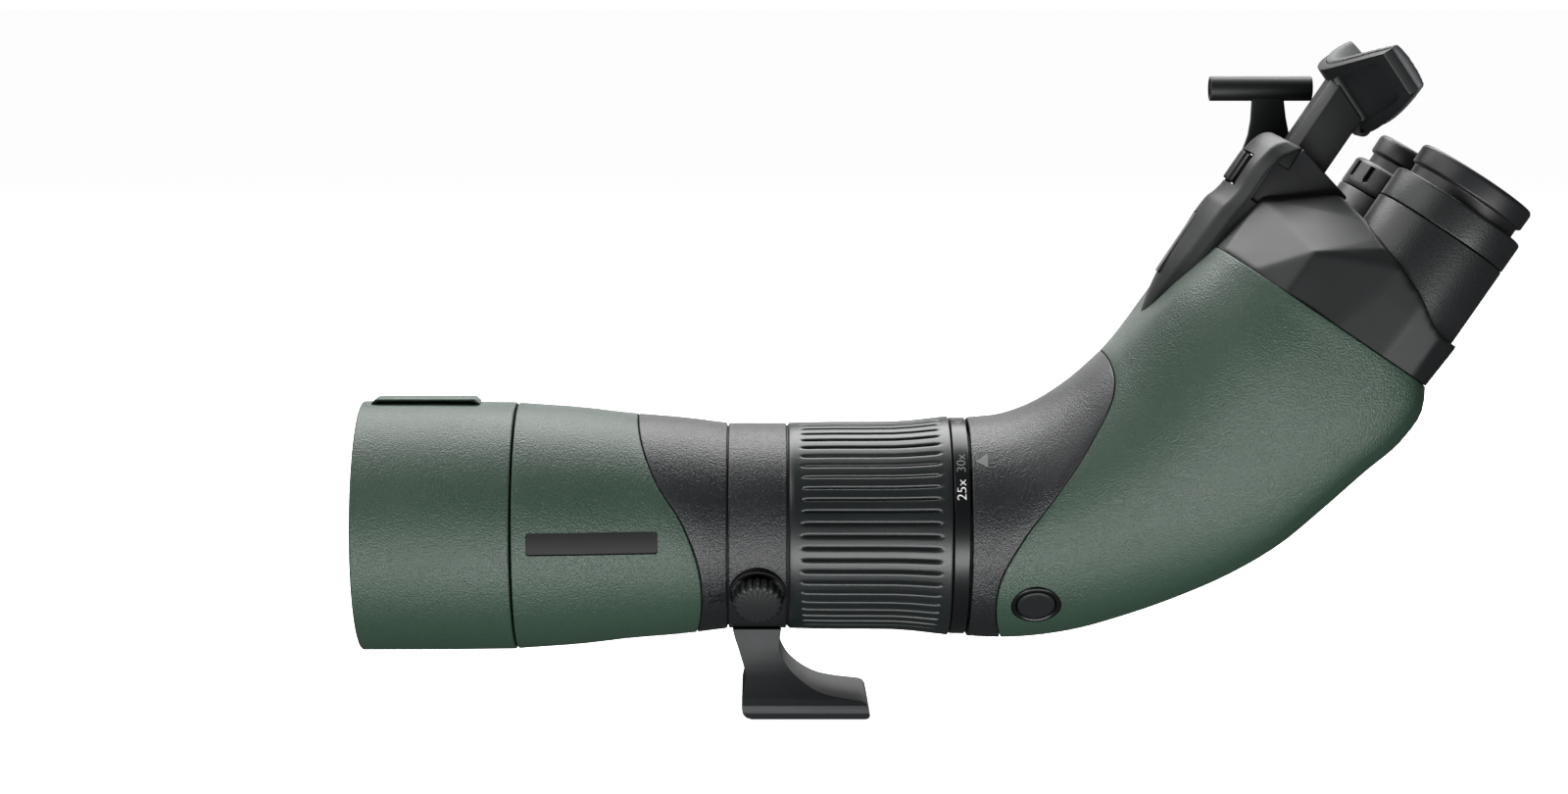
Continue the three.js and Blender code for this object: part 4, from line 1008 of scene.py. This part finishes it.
class SCOPE_OT_rest(bpy.types.Operator):
    """Forehead rest: carrier, blank inlay, thumb wheel, base, post, pad shell and pad"""

    bl_idname = "scope.rest"
    bl_label = "Forehead rest"

    def execute(self, context):
        self.carrier()
        self.base()
        self.wheel()
        self.post()
        self.shell()
        self.pad()
        return {"FINISHED"}

    def carrier(self):
        def skin(a, b):
            h = REST_LOW + (REST_HIGH - REST_LOW) * b
            out = abs(2 * a - 1)
            fall = 0.45 * (out / 0.84) ** 1.6 if out < 0.84 else 0.45 + 0.55 * (out - 0.84) / 0.16
            x = face_line(h) + (edge_line(h) - face_line(h)) * fall
            return (x, (2 * a - 1) * width_line(h), h)

        def inside(a, b):
            x, y, h = skin(a, b)
            return (-51.5 if h < 34.8 else -51.0, y * 0.96, h)

        body = sheet(40, 96, inside, skin, ON_HEAD)
        window = prism(rounded([(-12, 20.6, 1.2), (12, 20.6, 1.2), (12, 33.2, 1.2), (-12, 33.2, 1.2)]), -75,
                       -59.2, ON_HEAD, "yz")
        corner = prism([(-56.4, 19.5), (-56.4, 33.8), (-55.3, 34.9), (-51.6, 34.9), (-51.0, 45), (-40, 45),
                        (-40, 19.5)], -30, 30, ON_HEAD)
        recess = prism(rounded([(-4.2, -18.5, 2), (4.2, -18.5, 2), (4.2, 6.5, 2), (-4.2, 6.5, 2)]), -80,
                       -65.6, ON_HEAD, "yz")
        body = combined(softened(body, 0.6, 4), window, corner, recess)
        make("rest_carrier_moulded", body, "moulded_nylon_matte_black", "ocular",
             ["rest_carrier"], sharp=50)
        inlay = prism(rounded([(-3.9, -18.2, 1.8), (3.9, -18.2, 1.8), (3.9, 6.2, 1.8), (-3.9, 6.2, 1.8)]),
                      -66.2, -65.7, ON_HEAD, "yz")
        make("blank_inlay", bevelled(inlay, 0.15, 2), "anodised_aluminium_satin_black", "ocular",
             ["rest_inlay"])

    def base(self):
        wedge = prism([(-56.2, 18), (-50, 12), (-31, 30), (-29.2, 37.6), (-29.4, 38.3), (-50.9, 43.4),
                       (-51.3, 34.9), (-55.3, 34.9), (-56.3, 33.8)], -18, 18, ON_HEAD)
        make("rest_base_moulded", bevelled(wedge, 0.5, 3), "moulded_silicone_black", "ocular",
             ["rest_base"])

    def wheel(self):
        ribs, radius = 14, 4.6
        outline = rounded([(0, 21.4), (radius, 21.4, 0.5), (radius, 32.6, 0.5), (0, 32.6)], 3)
        bm = turned(outline, Matrix(), ribs * 8)
        fluted(bm, ribs, lambda r, phase, along: -0.25 * (1 + math.cos(2 * math.pi * phase)) if r > 3 else 0)
        bm.transform(ON_HEAD @ Matrix.Translation((-60.9, 0, 0)))
        make("height_wheel_ribbed", bm, "moulded_silicone_black", "rest_wheel", ["rest_wheel"])

    def post(self):
        outline = [(-54.5, 5.5), (-51.4, 9.6), (-38.7, 9.6), (-38.7, -9.6), (-51.4, -9.6), (-54.5, -5.5)]
        bar = prism(outline, 30, 72, ON_HEAD, "xy")
        top = prism([(-60, 71.6), (-30, 59.6), (-30, 90), (-60, 90)], -20, 20, ON_HEAD)
        bar = bevelled(combined(bar, top), 0.45, 3)
        make("rest_post_moulded", bar, "moulded_nylon_matte_black", "rest_post", ["rest_post"])

    def shell(self):
        def at(lift, recess):
            def skin(a, b):
                out = abs(2 * a - 1)
                y = (2 * a - 1) * SHELL_HALF
                upper, lower = 0.6 + 2.6 * out ** 3, 27 - 7.6 * out ** 2.5
                down = upper + (lower - upper) * b
                panel = eased(out, 0.2, 0.23) * (1 - eased(out, 0.86, 0.9)) * eased(b, 0.13,
                                                                                    0.17) * (1 - eased(b,
                                                                                                       0.82,
                                                                                                       0.87))
                return (down, y, lift + recess * panel + PAD_BEND * out ** 2)
            return skin

        body = sheet(160, 60, at(0.1, 1.9), at(3.6, 0), ON_PAD)
        body = bevelled(body, 0.5, 3, 50)
        make("pad_shell_moulded", body, "moulded_nylon_matte_black", "rest_post",
             ["pad_shell"], sharp=45)
        loop = turned(rounded([(1.5, -5), (2.8, -5, 0.4), (2.8, 5, 0.4), (1.5, 5)], 3),
                      ON_PAD @ Matrix.Translation((25.2, 0, 0.6)) @ Matrix.Rotation(math.pi / 2, 4, "X"), 40)
        make("pad_shell_loop", loop, "moulded_nylon_matte_black", "rest_post")

    def pad(self):
        def at(side):
            def skin(a, b):
                out = abs(2 * a - 1)
                y = (2 * a - 1) * PAD_HALF
                upper, lower = 3 * out ** 3, 27.4 - 8 * out ** 2.5
                down = upper + (lower - upper) * b
                brow = math.sin(math.pi * min(max(b, 0), 1)) ** 0.5
                end = (1 - out ** 8) ** 0.5 if out < 1 else 0
                thick = 2.2 + (3.2 - 1.2 * out ** 2) * brow * (0.35 + 0.65 * end)
                lift = 3.9 if side < 0 else 3.9 + thick
                return (down, y, lift + PAD_BEND * out ** 2)
            return skin

        body = sheet(96, 30, at(-1), at(1), ON_PAD)
        body = softened(body, 0.7, 10)
        pad = make("forehead_pad_foam", body, "skinned_foam_rubber", "rest_post",
                   ["forehead_pad"], sharp=70)


class SCOPE_OT_sight(bpy.types.Operator):
    """Sighting tube on its stalk at the far side"""

    bl_idname = "scope.sight"
    bl_label = "Sighting tube"

    def execute(self, context):
        place = frame_on((1, 0, 0), (0, 24, 216), (0, 0, -1))
        tube = turned(rounded([(3.2, 141.8), (3.5, 141.6, 0.2), (4.3, 141.6, 0.5), (4.3, 177.2, 0.5),
                               (3.4, 177.2, 0.2), (3.2, 176.9)], 4), place, 64)
        stalk = prism([(156.4, 213.5), (156.0, 205), (155.2, 200), (153.5, 195), (150, 190), (154, 184),
                       (164, 187), (168.4, 195), (169.6, 199.6), (168.2, 206), (167.2, 213.5)], 21.4, 24.6,
                      Matrix())
        make("sighting_tube_moulded", joined(tube, bevelled(stalk, 0.6, 3)), "moulded_nylon_matte_black",
             "ocular", ["sighting_tube"])
        return {"FINISHED"}


CARRIED = {"anodised_aluminium_matte_black": ["objective_barrel", "objective_lens_ring", "focus_lens_cell",
                                              "focus_ring_core", "zoom_lens_cell", "prism_plate",
                                              "ocular_casting", "left_eyecup_guide", "right_eyecup_guide",
                                              "bayonet_flange", "bayonet_ring"],
           "machined_stainless_steel": ["clamp_screw", "foot_screw_1", "foot_screw_2", "release_spring",
                                        "rest_spindle"], "coated_optical_glass": ["objective_lens_rear",
                                                                                  "focus_lens", "zoom_lens",
                                                                                  "turning_prism",
                                                                                  "beam_splitter_prism",
                                                                                  "left_eyepiece_prism",
                                                                                  "right_eyepiece_prism",
                                                                                  "left_field_lens",
                                                                                  "right_field_lens"],
           "moulded_silicone_black": ["brake_pad"],}


class SCOPE_OT_inner_parts(bpy.types.Operator):
    """Finishes for the inner parts that keep their CAD shape"""

    bl_idname = "scope.inner_parts"
    bl_label = "Inner parts"

    def execute(self, context):
        for finish, names in CARRIED.items():
            for name in names:
                mesh = frame["nodes"][name].data
                mesh.materials.clear()
                mesh.materials.append(material(finish))
        return {"FINISHED"}


# Camera: focal length and sensor in millimetres, shift as a share of the frame, place in metres
LENS, SENSOR, SIDE_SHIFT = 72.93, 36.0, 0.01875
CAMERA_AIM, DISTANCE, PITCH = Vector((-0.0177, 0, 0.1102)), 1.102, math.radians(7.2)


class SCOPE_OT_stage(bpy.types.Operator):
    """Floor, soft studio lights and the camera"""

    bl_idname = "scope.stage"
    bl_label = "Stage"

    def execute(self, context):
        scene = context.scene
        scene.view_settings.view_transform = "Standard"
        self.floor(scene)
        self.lights(scene)
        self.camera(scene)
        return {"FINISHED"}

    def backing(self, scene, name, bm, glow):
        """White paper that the camera sees and that throws no light on the object."""
        mesh = bpy.data.meshes.new(name)
        bm.to_mesh(mesh)
        bm.free()
        sheet_of_paper = bpy.data.objects.new(name, mesh)
        scene.collection.objects.link(sheet_of_paper)
        sheet_of_paper.visible_diffuse = False
        sheet_of_paper.visible_glossy = False
        sheet_of_paper.visible_shadow = False
        paper = bpy.data.materials.new(name + "_paper")
        paper.use_nodes = True
        tree = paper.node_tree
        shader = tree.nodes["Principled BSDF"]
        place = add(tree, "TexCoord").outputs["Object"]
        fibre = add(tree, "TexNoise", {"Vector": place, "Scale": 900.0, "Detail": 3.0}).outputs["Fac"]
        shade = scene.scope_colours.floor
        paler = add(tree, "Mix", {"Factor": fibre, "A": [c * 0.985 for c in shade] + [1], "B": [*shade, 1]},
                    data_type="RGBA")
        tree.links.new([s for s in paler.outputs if s.type == "RGBA"][0], shader.inputs["Base Color"])
        shader.inputs["Roughness"].default_value = 0.9
        shader.inputs["Specular IOR Level"].default_value = 0.0
        shader.inputs["Emission Color"].default_value = (1, 1, 1, 1)
        shader.inputs["Emission Strength"].default_value = glow
        mesh.materials.append(paper)

    def floor(self, scene):
        bm = bmesh.new()
        bmesh.ops.create_grid(bm, x_segments=4, y_segments=4, size=60)
        self.backing(scene, "floor", bm, 0.94)
        bm = bmesh.new()
        bmesh.ops.create_icosphere(bm, subdivisions=3, radius=80)
        self.backing(scene, "backdrop", bm, 1.04)

    def lights(self, scene):
        world = bpy.data.worlds.new("studio")
        scene.world = world
        world.use_nodes = True
        sky = world.node_tree.nodes["Background"]
        sky.inputs["Color"].default_value = (1, 1, 1, 1)
        sky.inputs["Strength"].default_value = 0.05
        for name, spot, aim, width, height, power in (
            ("top_softbox", (0.0, 0.6, 1.1), (0.0, 0.2, 0.1), 1.7, 0.9, 39.0),
            ("left_softbox", (-0.85, -0.42, 0.95), (0.15, 0.0, 0.18), 1.0, 0.6, 6.5),
            ("front_low_card", (0.0, -0.88, -0.36), (0.05, 0.0, 0.1), 1.7, 0.38, 19.0),
            ("back_fill", (0.2, 1.1, 0.2), (0.0, 0.0, 0.1), 1.2, 0.35, 2.0),
        ):
            light = bpy.data.lights.new(name, "AREA")
            light.shape = "RECTANGLE"
            light.size, light.size_y, light.energy = width, height, power
            lamp = bpy.data.objects.new(name, light)
            lamp.location = spot
            lamp.rotation_mode = "QUATERNION"
            lamp.rotation_quaternion = (Vector(aim) - Vector(spot)).to_track_quat("-Z", "Y")
            lamp.visible_camera = False
            scene.collection.objects.link(lamp)

    def camera(self, scene):
        lens = bpy.data.cameras.new("camera")
        lens.lens, lens.sensor_width, lens.shift_x = LENS, SENSOR, SIDE_SHIFT
        lens.clip_start, lens.clip_end = 0.05, 400
        camera = bpy.data.objects.new("camera", lens)
        camera.location = CAMERA_AIM + Vector((0, -math.cos(PITCH), math.sin(PITCH))) * DISTANCE
        camera.rotation_euler = (math.pi / 2 - PITCH, 0, 0)
        scene.collection.objects.link(camera)
        scene.camera = camera


OPERATORS = (SCOPE_OT_stage, SCOPE_OT_sunshade, SCOPE_OT_objective, SCOPE_OT_collar, SCOPE_OT_rings,
             SCOPE_OT_ocular, SCOPE_OT_cover, SCOPE_OT_eyepieces, SCOPE_OT_rest, SCOPE_OT_sight,
             SCOPE_OT_inner_parts)


class SCOPE_PT_pieces(bpy.types.Panel):
    """Lists the scope's pieces, sizes and colours"""

    bl_idname = "SCOPE_PT_pieces"
    bl_label = "Spotting scope"
    bl_space_type = "VIEW_3D"
    bl_region_type = "UI"
    bl_category = "Scope"

    def draw(self, context):
        for group in (context.scene.scope_sizes, context.scene.scope_colours):
            for name in group.bl_rna.properties.keys():
                if name not in ("rna_type", "name"):
                    self.layout.prop(group, name)
        for operator in OPERATORS:
            self.layout.operator(operator.bl_idname)


CLASSES = (ScopeSizes, ScopeColours, *OPERATORS, SCOPE_PT_pieces)


def register():
    for made in CLASSES:
        bpy.utils.register_class(made)
    bpy.types.Scene.scope_sizes = bpy.props.PointerProperty(type=ScopeSizes)
    bpy.types.Scene.scope_colours = bpy.props.PointerProperty(type=ScopeColours)


def unregister():
    del bpy.types.Scene.scope_colours
    del bpy.types.Scene.scope_sizes
    for made in reversed(CLASSES):
        bpy.utils.unregister_class(made)


def main():
    register()
    for operator in OPERATORS:
        group, name = operator.bl_idname.split(".")
        getattr(getattr(bpy.ops, group), name)()


if __name__ == "__main__":
    main()
